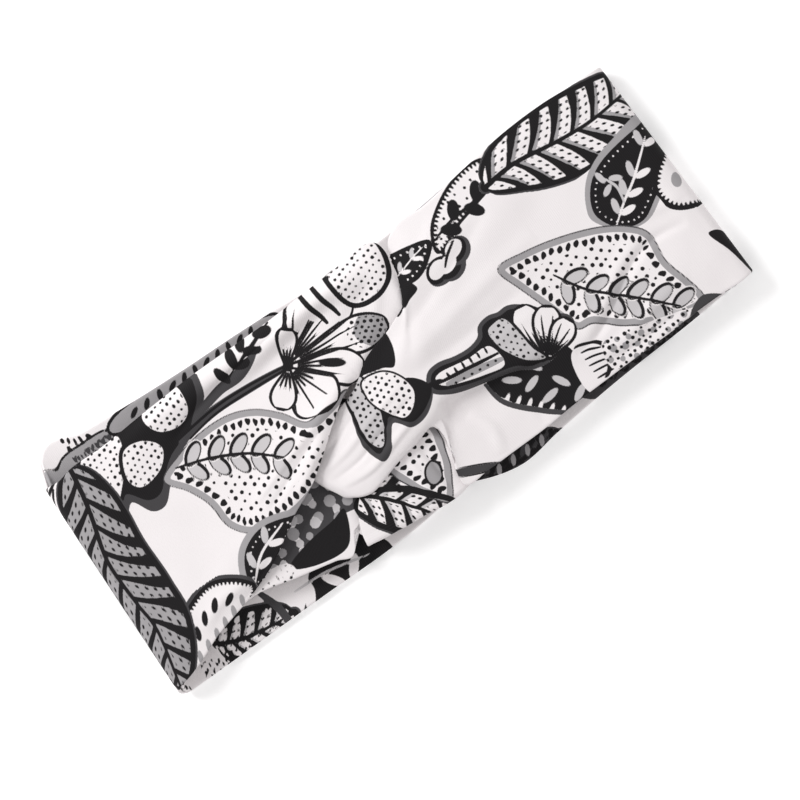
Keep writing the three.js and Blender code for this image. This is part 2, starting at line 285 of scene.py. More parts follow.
# %% Right front net
right_front_rows = [
    level_row(100, Z_BACK_OUTER, FOLD_PRINT),
    *end_fold(1, Z_BACK_OUTER, Z_FRONT_OUTER, RIGHT_SLANT),
    row((111, -40, 11.2), (111, -28, 12), (110.5, -16, 11.8), (110, -4, 11.3),
        (110, 9, 11.3), (109.5, 22, 11.3), (109, 35.5, 11.4), (108.5, 49, 11.2)),
    row((97, -40.2, 11.2), (96.5, -29, 12.4), (96, -17, 12.1), (96, -5, 11.5),
        (96, 8, 11.4), (96, 21, 11.4), (96, 35, 11.6), (96.5, 49.6, 11.2)),
    row((79, -41, 11.3), (79, -31, 12.7), (79.5, -20, 12.3), (80, -7, 11.9),
        (80, 6, 11.8), (80, 20, 11.9), (80, 34, 12.4), (80, 49, 11.4)),
    row((61, -41.6, 11.5), (61.5, -33, 12.3), (62, -24.5, 14.1), (62, -12, 13),
        (62.5, 2, 12.8), (63, 16, 13), (63, 32, 13.9), (63, 46.8, 12)),
    row((45, -42.4, 11.6), (45, -33, 12), (45, -24.6, 13), (45.5, -19, 16),
        (46.5, -4, 15), (47.5, 11, 15), (49, 28, 15), (51, 45, 12.8)),
    row((33, -43.4, 11.8), (32, -33, 12.6), (31.5, -20.4, 13.6), (31.5, -17.4, 17.4),
        (33, -5, 17.2), (35, 10, 17.2), (37.5, 27, 16.6), (40.5, 43.8, 13)),
    row((20.5, -43.8, 11.8), (19, -33, 12.8), (18.5, -18, 14), (19, -14.8, 19),
        (20.5, -4, 19.4), (23, 9, 19.6), (26.5, 25, 17.6), (30, 43.6, 13)),
    row((9, -44, 12.8), (10, -32, 13.6), (10, -17.6, 14.6), (10.5, -13.6, 20),
        (12, -3.5, 21), (15.5, 8, 21.2), (21, 22.5, 18), (24, 39, 13)),
    row((-1, -43.4, 13.2), (3.6, -32, 14.2), (6.4, -21.4, 15), (4.4, -16, 19.8),
        (5, -6.5, 21.1), (8, 3, 21.6), (12.5, 12, 21.2), (20.5, 23.5, 17.6)),
    row((5, -19.6, 16.6), (2.4, -20, 16.8), (-1, -20, 17.2), (-3, -18.2, 18.8),
        (-3.5, -11, 20.2), (-2, -3, 20.8), (1, 6, 20.6), (9.5, 16, 19.2)),
    row((-7, -21.4, 16), (-8, -22, 16.2), (-9.6, -21.8, 17), (-11, -19.8, 18),
        (-12, -14, 18.8), (-11.5, -7.5, 19.2), (-9, 0, 19), (-4.5, 11.5, 18.9)),
    row((-14.5, -22.8, 15.2), (-15.5, -23.4, 15.7), (-16.8, -23, 16.4), (-17.8, -20.8, 17.2),
        (-18.4, -15, 17.8), (-18, -8.5, 17.8), (-16, -2, 17.2), (-12.9, 5.6, 16.8)),
    row((-21.5, -25, 14.9), (-22.5, -25.6, 15.4), (-23.8, -25.2, 15.9), (-25, -22.8, 16.4),
        (-26.2, -17.4, 16.6), (-26.6, -11, 16.2), (-25.6, -4.8, 15.6), (-22.5, 2.4, 14.8)),
    row((-28, -26.6, 14.4), (-29, -27, 14.8), (-30.4, -26.2, 15.2), (-31.8, -23.4, 15.4),
        (-33.6, -18.4, 15.2), (-34.6, -13, 14.9), (-34.4, -7.6, 14.4), (-32.5, -1.6, 14)),
    row((-33.6, -25.2, 13.9), (-34.4, -25, 14.1), (-35.6, -23.8, 14.3), (-37, -21, 14.4),
        (-39.2, -16.8, 14.3), (-40.6, -12.8, 14.1), (-41.4, -9, 13.8), (-41, -5.4, 13.6)),
    row((-35.4, -24, 13), (-36.2, -23.8, 13), (-37.4, -22.6, 13), (-38.8, -20, 13),
        (-41, -16, 12.9), (-42.4, -12.2, 12.9), (-43, -8.6, 12.8), (-42.4, -5.2, 12.8)),
    row((-34.4, -23.6, 11.7), (-35.2, -23.4, 11.6), (-36.4, -22.2, 11.6), (-37.8, -19.6, 11.5),
        (-39.8, -15.8, 11.5), (-41.2, -12, 11.5), (-41.8, -8.6, 11.5), (-41.4, -5.4, 11.6)),
]
print("right front net:", len(right_front_rows), "rows of", COLUMNS)

# %% [markdown]
# ## The inner legs and the back
#
# Behind the front, each tube comes back from its bend as a second leg that lies
# inside the first, round the end fold and along the back to the seam. These legs
# show only as narrow strips beside the front, and from below.


# %% Inner and back nets
def back_rows(side, level, lip, print_at):
    """The back leg from its turned-up seam edge out to the end fold.

    Each row is how far out it lies, its height, and how far out its print is taken
    from, which runs on past the middle up the turned-up edge.
    """
    bend = 1.4
    places = [
        (lip, LIP_TOP, -3.6),
        (lip, level + bend + 0.6, -0.4),
        (lip + 0.4, level + 0.4, lip + 0.6),
        (lip + bend, level, lip + bend),
        (lip + bend + 2, level, lip + bend + 2),
        (20, level, 20),
        (36, level, 36),
        (60, level, 60),
        (100, level, 100),
    ]
    return [level_row(side * out, z, side * print_at(source)) for out, z, source in places]


LIP_OUTER = 0.82
LIP_INNER = 2.4
INNER_SHIFT = 300.0


def outer_print(out):
    """The outer leg's print runs on from the front, round the fold and back inwards."""
    return FOLD_PRINT + 100 - out


def inner_print(out):
    """The inner back leg's own stretch of print."""
    return INNER_SHIFT + out


left_back_rows = back_rows(-1, Z_BACK_OUTER, LIP_OUTER, outer_print)
right_back_rows = back_rows(1, Z_BACK_OUTER, LIP_OUTER, outer_print)

left_inner_rows = [
    row((-40, -38, 9.6), (8, -38, 9.6)),
    row((-42, -35, 9.6), (6, -20, 9.6)),
    row((-46, -41.5, 9.6), (2, 4, 9.6)),
    row((-53, -40, 9.6), (-14, 30, 9.6)),
    row((-66, -37.4, 9.6), (-44, 38, 9.6)),
    row((-86, -34, 9.6), (-80, 38, 9.6)),
    row((-104, -38, 9.6), (-102, 38, 9.6)),
    *end_fold(-1, Z_BACK_INNER, Z_FRONT_INNER, LEFT_SLANT, -INNER_SHIFT)[::-1],
    *back_rows(-1, Z_BACK_INNER, LIP_INNER, inner_print)[::-1],
]
right_inner_rows = [
    row((-34, -23, Z_HOOK), (-40, -6, Z_HOOK)),
    row((-24, -25, Z_HOOK), (-30, -2, Z_HOOK)),
    row((-8, -25, Z_HOOK), (-12, 2, Z_HOOK)),
    row((8, -25, Z_HOOK), (6, 12, Z_HOOK)),
    row((24, -27, Z_HOOK - 0.2), (20, 26, Z_HOOK - 0.2)),
    row((42, -34, Z_HOOK - 1.2), (38, 38, Z_HOOK - 1.4)),
    row((62, -40, 9.7), (60, 41, 9.7)),
    row((84, -41, 9.6), (84, 46, 9.6)),
    row((106, -40, 9.6), (106, 47, 9.6)),
    *end_fold(1, Z_BACK_INNER, Z_FRONT_INNER, RIGHT_SLANT, INNER_SHIFT)[::-1],
    *back_rows(1, Z_BACK_INNER, LIP_INNER, inner_print)[::-1],
]


# %% [markdown]
# ## From net to closed sheet
#
# Each net is read through the splines on a fine grid. Small folds follow lines drawn
# on the band: the cloth rises or sinks along them and falls off on both sides. The
# grid is then the middle of a flattened tube, which has an upper and a lower face
# that meet in rounded edges. A Solidify modifier would make square edges instead.


# %% Lines, and how far points lie from them
def smooth_line(points, closed=False, per_span=7):
    """A rounded line through the points: each span is a cubic whose slope at a point
    runs parallel to the line between that point's neighbours."""
    points = np.array(points, float)
    count = len(points)
    if closed:
        before, after = np.roll(points, 1, axis=0), np.roll(points, -1, axis=0)
        starts, ends = np.arange(count), (np.arange(count) + 1) % count
    else:
        before = np.vstack([points[:1], points[:-1]])
        after = np.vstack([points[1:], points[-1:]])
        starts, ends = np.arange(count - 1), np.arange(1, count)
    slope = (after - before) / 2
    t = np.linspace(0, 1, per_span, endpoint=False)[None, :, None]
    p, q, m, n = points[starts], points[ends], slope[starts], slope[ends]
    line = (
        (2 * t**3 - 3 * t**2 + 1) * p[:, None]
        + (t**3 - 2 * t**2 + t) * m[:, None]
        + (-2 * t**3 + 3 * t**2) * q[:, None]
        + (t**3 - t**2) * n[:, None]
    ).reshape(-1, 2)
    return line if closed else np.vstack([line, points[-1:]])


def along_line(x, y, line, closed=False):
    """For each point: how far along the line its nearest place is, its distance, and
    its side, which is +1 to the left of the line's direction."""
    ends = np.roll(line, -1, axis=0) if closed else line[1:]
    starts = line if closed else line[:-1]
    step = ends - starts
    length = np.maximum(np.hypot(step[:, 0], step[:, 1]), 1e-9)
    before = np.concatenate([[0], np.cumsum(length)[:-1]])
    best = np.full(len(x), 1e9)
    place = np.zeros(len(x))
    side = np.ones(len(x))
    for start, direction, size, offset in zip(starts, step, length, before):
        dx, dy = x - start[0], y - start[1]
        t = np.clip((dx * direction[0] + dy * direction[1]) / size**2, 0, 1)
        gap = np.hypot(dx - t * direction[0], dy - t * direction[1])
        closer = gap < best
        best = np.where(closer, gap, best)
        place = np.where(closer, offset + t * size, place)
        turn = direction[0] * dy - direction[1] * dx
        side = np.where(closer, np.where(turn >= 0, 1.0, -1.0), side)
    return place, best, side, length.sum()


# %% Fine grid through a net
MEAN_WIDTH = 0.86 * FLAT_WIDTH      # how wide the strips lie on average, gathers included
EDGE_STEPS = np.array([0, 0.0012, 0.0035, 0.007])
EDGE_SHARE = 0.011                  # columns are closer within this share of an edge
ROUND_SHARE = 0.009                 # the tube's edge is rounded over this share


def smooth_net(rows, along_mm, across_mm):
    """A fine grid of x, y, z and print place through the net, and its flat length.

    Rows are spaced along the strip by the mean distance between them.
    """
    net = np.array(rows)
    gaps = np.linalg.norm(np.diff(net[:, :, :3], axis=0), axis=2).mean(axis=1)
    knots = np.concatenate([[0], np.cumsum(gaps)])
    places = np.linspace(0, knots[-1], int(knots[-1] / along_mm) + 1)
    count = int(MEAN_WIDTH / across_mm) + 1
    inner = np.linspace(EDGE_SHARE, 1 - EDGE_SHARE, count)
    shares = np.concatenate([EDGE_STEPS, inner, 1 - EDGE_STEPS[::-1]])
    down = spline_weights(knots, places)
    across = spline_weights(SHARES, shares)
    grid = np.einsum("sr,rcv,tc->stv", down, net, across)
    grid[:, :, 2] = np.maximum(grid[:, :, 2], Z_BACK_OUTER)
    return grid, places, shares


# %% Small folds
def lift_folds(grid, folds):
    """Raise the cloth over each fold line and sink it along each crease.

    A fold is its line, its height, and how softly it falls off on the left and on the
    right of that line. Its height is a sine of the share along the line. A slow
    ripple, a few millimetres long, keeps the rest of the cloth from lying dead flat.
    """
    x, y, z = (grid[:, :, k].ravel() for k in range(3))
    lift = np.zeros(len(x))
    for points, height, left, right in folds:
        line = smooth_line(points)
        place, gap, side, total = along_line(x, y, line)
        width = np.where(side > 0, left, right)
        share = np.clip(place / total, 0, 1)
        lift += height * np.sin(np.pi * share) ** 0.6 * np.exp(-((gap / width) ** 2))
    slow = np.sin(x / 3.7 + 1.4 * np.sin(y / 8)) * np.sin(y / 5.3 + 1.1 * np.sin(x / 11))
    lift = (lift + RIPPLE * slow) * smooth_step(z, 9, 11)
    return lift.reshape(grid.shape[:2])


def unit_normals(points):
    """The direction square to the sheet at each grid point, from its two slopes."""
    along = np.gradient(points, axis=0)
    wide = np.gradient(points, axis=1)
    normal = np.cross(along, wide)
    return normal / np.linalg.norm(normal, axis=2, keepdims=True)


def upward_normals(points):
    """The sheet's normals, each turned to point up."""
    normal = unit_normals(points)
    return normal * np.where(normal[:, :, 2:] < 0, -1, 1)


# %% Closed skins
def build_mesh(name, verts, faces_flat, sides, uv):
    """A mesh from flat arrays: points, the corner list, and each face's side count."""
    mesh = bpy.data.meshes.new(name)
    mesh.vertices.add(len(verts))
    mesh.vertices.foreach_set("co", verts.astype(np.float32).ravel())
    mesh.loops.add(len(faces_flat))
    mesh.loops.foreach_set("vertex_index", faces_flat.astype(np.int32))
    mesh.polygons.add(len(sides))
    starts = np.concatenate([[0], np.cumsum(sides)[:-1]])
    mesh.polygons.foreach_set("loop_start", starts.astype(np.int32))
    mesh.update(calc_edges=True)
    mesh.polygons.foreach_set("use_smooth", np.ones(len(sides), bool))
    layer = mesh.uv_layers.new(name="cloth")
    layer.data.foreach_set("uv", uv[faces_flat].astype(np.float32).ravel())
    mesh.validate()
    piece = bpy.data.objects.new(name, mesh)
    bpy.context.scene.collection.objects.link(piece)
    return piece


def signed_volume(mesh):
    """The volume inside a closed mesh, negative where its faces point inwards."""
    work = bmesh.new()
    work.from_mesh(mesh)
    volume = work.calc_volume(signed=True)
    work.free()
    return volume


def rings_mesh(name, verts, count, ring, uv):
    """A closed skin over rings of points: each point joins its neighbour in the ring
    and the same two in the next ring, and one face closes each end."""
    start = np.arange(count - 1)[:, None] * ring
    base = start + np.arange(ring)
    after = start + (np.arange(ring) + 1) % ring
    quads = np.stack([base, after, after + ring, base + ring], axis=2).reshape(-1, 4)
    last = (count - 1) * ring + np.arange(ring)
    flat = np.concatenate([quads.ravel(), np.arange(ring)[::-1], last])
    sides = np.concatenate([np.full(len(quads), 4), [ring, ring]])
    piece = build_mesh(name, verts, flat, sides, uv)
    if signed_volume(piece.data) < 0:
        piece.data.flip_normals()
    return piece


def tube_mesh(name, grid, places, shares, under_step):
    """A flattened tube around the grid: an upper face, a coarser lower face, rounded
    edges and closed ends. Half the thickness fades to nothing at both edges like a
    half circle, so the faces meet there in one shared line."""
    points = grid[:, :, :3]
    normal = unit_normals(points)
    if normal[:, :, 2].mean() < 0 and name.endswith("front"):
        normal = -normal
    reach = np.minimum(shares, 1 - shares) / ROUND_SHARE
    round_off = np.sqrt(np.clip(1 - (1 - np.clip(reach, 0, 1)) ** 2, 0, 1))
    half = 0.5 * CLOTH * round_off[None, :, None]
    upper = points + normal * half
    keep = np.zeros(len(shares), bool)
    keep[4:-4:under_step] = True
    keep[[1, 2, 3, -4, -3, -2]] = True
    lower_columns = np.flatnonzero(keep)
    lower = (points - normal * half)[:, lower_columns]
    steps, top = upper.shape[:2]
    ring = top + len(lower_columns)
    verts = np.concatenate([upper, lower[:, ::-1]], axis=1).reshape(-1, 3) * MM
    around = np.concatenate([shares, shares[lower_columns][::-1]]) * FLAT_WIDTH
    uv = np.stack(np.meshgrid(places, around, indexing="ij"), axis=2).reshape(-1, 2) * MM
    prints = np.concatenate([grid[:, :, 3:], grid[:, lower_columns[::-1], 3:]], axis=1)
    return rings_mesh(name, verts, steps, ring, uv), prints.reshape(-1, 2)


# %% Fold lines
FINE = 0.44
MEDIUM = 0.8

left_folds = [
    ([(-76, 26), (-62, 30.5), (-46, 33.5), (-30, 36.5), (-14, 39)], -1.5, 2.2, 1.6),
    ([(-96, 34), (-80, 36), (-60, 37.6), (-40, 39.4)], 0.9, 2.6, 2.6),
    ([(-30, 20), (-14, 23), (2, 28), (12, 34)], -0.7, 2.5, 2.0),
    ([(-64, -8), (-48, -2.4), (-34, 2), (-22, 6.4), (-10, 9.6)], 1.1, 2.6, 1.2),
    ([(-62, -13), (-50, -7.6), (-38, -2.4), (-27, 1.6)], -0.9, 1.5, 1.5),
    ([(-58, -17), (-48, -12.4), (-40, -7.4), (-31, -2)], 0.8, 1.6, 1.4),
    ([(-12, 10), (0, 17), (10, 26), (17, 36)], 0.6, 2.2, 2.2),
    ([(-104, -34), (-94, -29), (-84, -28), (-72, -23.6)], 0.8, 2.4, 2.0),
    ([(-92, -36), (-80, -31), (-68, -25.4)], -0.7, 1.6, 1.6),
    ([(-118, 30), (-111, 24), (-106, 12)], 0.5, 3.0, 3.0),
]
left_hook_folds = [
    ([(-2, -20), (1.6, -30), (2.4, -42)], 0.9, 1.5, 1.5),
    ([(-7, -21), (-5.6, -31), (-5, -44)], -0.9, 1.4, 1.4),
    ([(-12, -22), (-12, -32), (-13, -43)], 0.7, 1.5, 1.5),
    ([(-18, -22), (-20, -32), (-22, -43)], -0.8, 1.5, 1.5),
    ([(-22, -22), (-27, -32), (-30, -42)], 0.7, 1.6, 1.6),
]
right_folds = [
    ([(4, 13), (18, 20), (32, 29), (44, 39)], 0.8, 2.8, 2.8),
    ([(3, 9), (20, 14.5), (40, 22), (60, 31)], -0.7, 3.0, 2.4),
    ([(2, 3), (22, 6), (44, 10), (68, 14)], 0.8, 3.6, 3.2),
    ([(2, -2), (20, -2), (40, -0.5), (62, 1.5)], -0.6, 3.0, 2.4),
    ([(4, -8), (20, -9.6), (36, -9), (54, -8)], 0.6, 2.6, 2.4),
    ([(56, -28.4), (66, -27.4), (78, -21.4), (90, -14), (101, -11), (114, -12.4)], -1.3, 1.9, 1.5),
    ([(62, -24.6), (74, -19.4), (86, -11.6), (98, -7.4)], 0.9, 2.6, 1.9),
    ([(58, -33), (72, -33.6), (88, -30), (104, -27)], 0.9, 2.4, 2.2),
    ([(66, -37.4), (80, -37.6), (96, -36)], -0.7, 1.7, 1.7),
    ([(96, 2), (106, -2.4), (118, -4)], 0.5, 2.6, 2.0),
    ([(60, 38), (76, 42), (92, 44)], 0.6, 2.6, 2.6),
    ([(-36, -20), (-24, -20.6), (-10, -16.4), (4, -12.6)], 0.9, 1.5, 1.1),
    ([(-38, -16.6), (-26, -16), (-12, -11.6), (2, -8)], -0.8, 1.3, 1.3),
    ([(-40, -12.6), (-28, -10.8), (-14, -6.4), (0, -2.4)], 0.8, 1.5, 1.3),
    ([(-40, -8.6), (-28, -5.6), (-16, -1), (-4, 4)], -0.6, 1.4, 1.4),
    ([(14, -24), (18, -33), (16, -42)], 0.7, 2.2, 2.2),
    ([(32, -23), (36, -33), (34, -42)], -0.6, 2.2, 2.2),
]
folds_by_piece = {
    "left_front": left_folds,
    "left_hook_front": left_hook_folds,
    "right_front": right_folds,
}

# %% Every sheet, with its net and its fineness along and across
sheets = {}
grids = {}
for name, rows, along, across, under_step in [
    ("left_front", left_front_rows, FINE, FINE, 10),
    ("right_front", right_front_rows, FINE * 1.06, FINE, 10),
    ("left_hook_front", left_hook_rows, FINE, FINE, 4),
    ("left_inner", left_inner_rows, 0.8 * MEDIUM, 0.8 * MEDIUM, 2),
    ("right_inner", right_inner_rows, 0.8 * MEDIUM, 0.8 * MEDIUM, 2),
    ("left_back", left_back_rows, MEDIUM, MEDIUM, 1),
    ("right_back", right_back_rows, MEDIUM, MEDIUM, 1),
]:
    grid, places, shares = smooth_net(rows, along, across)
    lift = lift_folds(grid, folds_by_piece.get(name, []))
    grid[:, :, :3] += lift[:, :, None] * upward_normals(grid[:, :, :3])
    grids[name] = (grid[:, :, :3], shares)
    piece, prints = tube_mesh(name, grid, places, shares, under_step)
    sheets[name] = (piece, prints, places[-1])
    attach(piece, "root")
    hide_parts("left_band" if name.startswith("left") else "right_band")
    print(name, "length", round(places[-1]), "mm,", len(piece.data.polygons), "faces")

# %% [markdown]
# ## The printed plants
#
# The jersey is printed with large leaves and flowers in black and three greys on a
# warm white ground. A print could be drawn on an image and wrapped on, but then its
# fine lines would be only as sharp as the image. Here every point of the cloth
# stores how deep it lies inside each ink, in millimetres, and the material draws
# the ink's edge where that depth passes nought, which stays crisp.


# %% Inks stored as depths
INKS = {"black": 0, "dark": 1, "mid": 2, "light": 3}    # darkest first
SPREAD = 0.1      # how far an ink spreads past its outline, and so under a darker one
NO_INK = -3.0     # the depth stored where there is no ink near


def scrambled(number, size):
    """A value between 0 and 1 with no visible order: the fraction of a large sine."""
    value = np.sin(number) * size
    return value - np.floor(value)


class Print:
    """The inks on one piece of cloth, laid one shape after another."""

    def __init__(self, x, y):
        self.x, self.y = x, y
        self.depth = np.full((len(x), len(INKS)), NO_INK)

    def around(self, points, margin):
        """The cloth's points within a margin of these points' box."""
        points = np.array(points, float)
        low, high = points.min(axis=0) - margin, points.max(axis=0) + margin
        inside = (self.x > low[0]) & (self.x < high[0])
        return np.flatnonzero(inside & (self.y > low[1]) & (self.y < high[1]))

    def lay(self, spot, ink, depth):
        """Lay ink where depth is positive. Darker inks there are taken away, lighter
        ones stay below it, and ink None leaves the bare ground."""
        k = len(INKS) if ink is None else INKS[ink]
        held = self.depth[spot]
        held[:, :k] = np.minimum(held[:, :k], -depth[:, None])
        if ink is not None:
            held[:, k] = np.maximum(held[:, k], depth + SPREAD)
        self.depth[spot] = held

    def outline(self, points, margin=1.0):
        """A closed rounded outline: the spot, the depth inside it and the place along it."""
        line = smooth_line(points, closed=True)
        spot = self.around(line, margin)
        x, y = self.x[spot], self.y[spot]
        place, gap, _, total = along_line(x, y, line, closed=True)
        inside = np.zeros(len(x), bool)
        for (ax, ay), (bx, by) in zip(line, np.roll(line, -1, axis=0)):
            crosses = (ay > y) != (by > y)
            if ay != by:
                inside ^= crosses & (x < (bx - ax) * (y - ay) / (by - ay) + ax)
        return spot, np.where(inside, gap, -gap), place, total

    def shape(self, ink, points, grow=0.0):
        """A closed rounded outline filled with ink, which may grow past it."""
        spot, depth, _, _ = self.outline(points, 1.0 + max(grow, 0))
        self.lay(spot, ink, depth + grow)

    def stroke(self, ink, points, width):
        """A line of ink, thinner at its two ends."""
        line = smooth_line(points)
        spot = self.around(line, width + 1)
        place, gap, _, total = along_line(self.x[spot], self.y[spot], line)
        taper = 0.45 + 0.55 * np.sin(np.pi * np.clip(place / total, 0.02, 0.98)) ** 0.5
        self.lay(spot, ink, width / 2 * taper - gap)

    def oval(self, ink, centre, half_long, half_wide, angle, grow=0.0):
        """An oval leaf, its long axis at the angle in degrees."""
        spot = self.around([centre], half_long + grow + 1.5)
        a = np.radians(angle)
        dx, dy = self.x[spot] - centre[0], self.y[spot] - centre[1]
        p = (dx * np.cos(a) + dy * np.sin(a)) / (half_long + grow)
        q = (dy * np.cos(a) - dx * np.sin(a)) / (half_wide + grow)
        self.lay(spot, ink, (1 - np.hypot(p, q)) * (half_wide + grow))

    def dots(self, ink, spot, inside, place, off, pitch, radius):
        """A row of dots: place runs along the row and off is the distance from it."""
        near = (np.mod(place, pitch) - pitch / 2)
        depth = radius - np.hypot(near, off)
        self.lay(spot, ink, np.minimum(depth, inside))

    def scatter(self, ink, spot, inside, pitch, radius, angle=20.0, low=1.2):
        """Dots on a slanted lattice, a little uneven in place and in size, kept where
        the depth inside is over low."""
        a = np.radians(angle)
        x = (self.x[spot] * np.cos(a) + self.y[spot] * np.sin(a)) / pitch
        y = (self.y[spot] * np.cos(a) - self.x[spot] * np.sin(a)) / pitch
        x = x + 0.5 * np.mod(np.floor(y), 2)
        i, j = np.floor(x), np.floor(y)
        shake = scrambled(i * 12.9898 + j * 78.233, 43758.5453)
        other = scrambled(i * 39.346 + j * 11.135, 24634.6345)
        dx = (x - i - 0.5 - 0.3 * (shake - 0.5)) * pitch
        dy = (y - j - 0.5 - 0.3 * (other - 0.5)) * pitch
        size = radius * (0.7 + 0.6 * shake)
        self.lay(spot, ink, np.minimum(size - np.hypot(dx, dy), inside - low))

    def finish(self, piece):
        """Store the four depths as a colour on the piece's points."""
        layer = piece.data.color_attributes.new("ink", "FLOAT_COLOR", "POINT")
        layer.data.foreach_set("color", self.depth.astype(np.float32).ravel())


# %% Plants drawn with the inks
def leaf_frame(cloth, rib, half_width, blunt=0.7, margin=1.5):
    """A leaf round a curved rib: half its width is a sine of the share along the rib."""
    line = smooth_line(rib)
    spot = cloth.around(line, half_width + margin)
    place, gap, side, total = along_line(cloth.x[spot], cloth.y[spot], line)
    share = np.clip(place / total, 0, 1)
    depth = half_width * np.sin(np.pi * share) ** blunt - gap
    return spot, depth, place, gap, side, total


def veined_leaf(cloth, rib, half_width, fill, pitch=7.5, lean=1.0, rim=1.3, vein=1.1,
                blunt=0.6, band=None):
    """A bold leaf: black rim, black rib, slanted black veins and dots between them.

    With a band ink, that ink fills the half of each field next to its vein.
    """
    spot, depth, place, gap, side, total = leaf_frame(cloth, rib, half_width, blunt)
    cloth.lay(spot, "dark", depth + rim + 0.7)
    cloth.lay(spot, "black", depth + rim)
    cloth.lay(spot, fill, depth)
    phase = (place - lean * gap + 0.022 * gap**2 + (side > 0) * 0.3 * pitch) / pitch
    across = pitch / np.hypot(1, lean)
    off = (np.mod(phase, 1) - 0.5) * across
    if band:
        cloth.lay(spot, band, np.minimum(depth, np.minimum(off, across * 0.3 - off)))
    swell = vein * (0.45 + 0.85 * np.clip(gap / half_width, 0, 1) ** 1.4)
    field = np.minimum(depth - 0.4, gap - 1.3)
    cloth.dots("black", spot, field, gap, np.abs(off) - 0.34 * across, 2.3, 0.4)
    cloth.lay(spot, "black", np.minimum(swell - np.abs(off), depth + 0.5))
    taper = 0.8 - 0.45 * place / total
    cloth.lay(spot, "black", np.minimum(taper - gap, depth + 0.6))


def sprig(cloth, rib, size, step, fill="mid", ink="black", wide=0.46, line=0.85, pairs=False):
    """A rib with oval leaflets, each with an outline that is thicker on one side."""
    path = smooth_line(rib)
    gaps = np.hypot(*np.diff(path, axis=0).T)
    places = np.concatenate([[0], np.cumsum(gaps)])
    for n, at in enumerate(np.arange(step * 0.6, places[-1], step)):
        k = min(np.searchsorted(places, at), len(path) - 1)
        direction = path[k] - path[max(k - 1, 0)]
        heading = np.degrees(np.arctan2(direction[1], direction[0]))
        turns = (-52, 52) if pairs else ((52,) if n % 2 else (-52,))
        for turn in turns:
            a = np.radians(heading + turn)
            centre = path[k] + size * 0.98 * np.array([np.cos(a), np.sin(a)])
            if fill != ink:
                cloth.oval(None, centre, size, size * wide, heading + turn, 1.25)
            cloth.oval(ink, centre, size, size * wide, heading + turn, 0.75)
            if fill != ink:
                inward = centre + 0.35 * np.array([np.sin(a), -np.cos(a)])
                cloth.oval(fill, inward, size, size * wide, heading + turn)
    cloth.stroke("black", rib, line)


def dotted_leaf(cloth, points, rib=None, border="mid", rim_line="dark"):
    """A broad leaf: a plain border, a row of bold dots that follows it, small dots
    inside and, where it has a rib, a sprig along its middle."""
    spot, depth, place, _ = cloth.outline(points)
    cloth.lay(spot, rim_line, depth + 0.4)
    cloth.lay(spot, border, depth)
    cloth.lay(spot, None, depth - 2.0)
    wobble = 0.4 * np.sin(place * 1.9) + 0.3 * np.sin(place * 0.7)
    cloth.dots("black", spot, depth - 2.2, place, (depth - 3.7 + wobble) * 0.9, 3.1, 1.0)
    cloth.scatter("black", spot, depth, 3.1, 0.56, 25, 6.2)
    if rib:
        sprig(cloth, rib, 3.9, 7.6, "light", pairs=True)


def dotted_petal(cloth, points, ground="black", shade=None, grow=1.3):
    """A white petal full of small dots, on a dark ground that grows past it."""
    spot, depth, _, _ = cloth.outline(points, 1.0 + grow)
    cloth.lay(spot, ground, depth + grow)
    cloth.lay(spot, shade, depth)
    cloth.scatter("black", spot, depth, 2.3, 0.45, 15, 0.4)


def black_leaf(cloth, points, rib, rim=None, size=1.0):
    """A black leaf figured with a pale sprig and pale dots along its edge."""
    spot, depth, place, _ = cloth.outline(points, 4.0)
    if rim:
        cloth.lay(spot, rim, depth + 2.2)
    cloth.lay(spot, "black", depth)
    cloth.dots(None, spot, depth - 0.6, place, depth - 1.8, 2.4, 0.4)
    path = smooth_line(rib)
    for n in range(4, len(path) - 2, 5):
        direction = path[n] - path[n - 1]
        heading = np.degrees(np.arctan2(direction[1], direction[0]))
        for turn in (48, -48):
            a = np.radians(heading + turn)
            centre = path[n] + 3.2 * size * np.array([np.cos(a), np.sin(a)])
            leaflet = "light" if turn > 0 else None
            cloth.oval(leaflet, centre, 2.9 * size, 1.25 * size, heading + turn * 0.8)
    cloth.stroke(None, rib, 0.9 * size)


def rayed_petal(cloth, base, tip, half_width, rays=5, tip_ink=None):
    """A pale petal with a black outline and fine rays that run out from its base."""
    base, tip = np.array(base, float), np.array(tip, float)
    axis = tip - base
    length = np.hypot(*axis)
    axis = axis / length
    spot = cloth.around([base, tip], half_width + 2)
    dx, dy = cloth.x[spot] - base[0], cloth.y[spot] - base[1]
    u = dx * axis[0] + dy * axis[1]
    v = dy * axis[0] - dx * axis[1]
    share = np.clip(u / length, 0, 1)
    width = half_width * np.sin(np.pi * share**1.8) ** 0.6
    ends = np.minimum(u, length - u)
    depth = np.minimum(width - np.abs(v), ends - 1.0)
    cloth.lay(spot, "black", depth + 1.0)
    cloth.lay(spot, None, depth)
    if tip_ink:
        tip_depth = np.minimum(depth, u - 0.66 * length - 0.12 * v**2)
        cloth.lay(spot, tip_ink, tip_depth)
        cloth.scatter("black", spot, np.minimum(depth, tip_depth + 3), 2.0, 0.5, 35, 0.5)
    angle = np.arctan2(v, np.maximum(u, 0.01)) / np.arctan2(half_width, 0.62 * length)
    ray = (np.mod(angle * rays / 2 + 0.5, 1) - 0.5) / (rays / 2) * np.maximum(u, 0.5)
    ray = ray * np.arctan2(half_width, 0.62 * length)
    reach = length * (0.62 - 0.2 * np.cos(angle * 9))
    thick = 0.33 * np.clip(share * 5, 0.2, 1) * (1.2 - 0.7 * share)
    line = np.minimum(thick - np.abs(ray), np.minimum(depth, reach - u))
    line = np.minimum(line, u - 0.1 * length)
    cloth.lay(spot, "black", line)


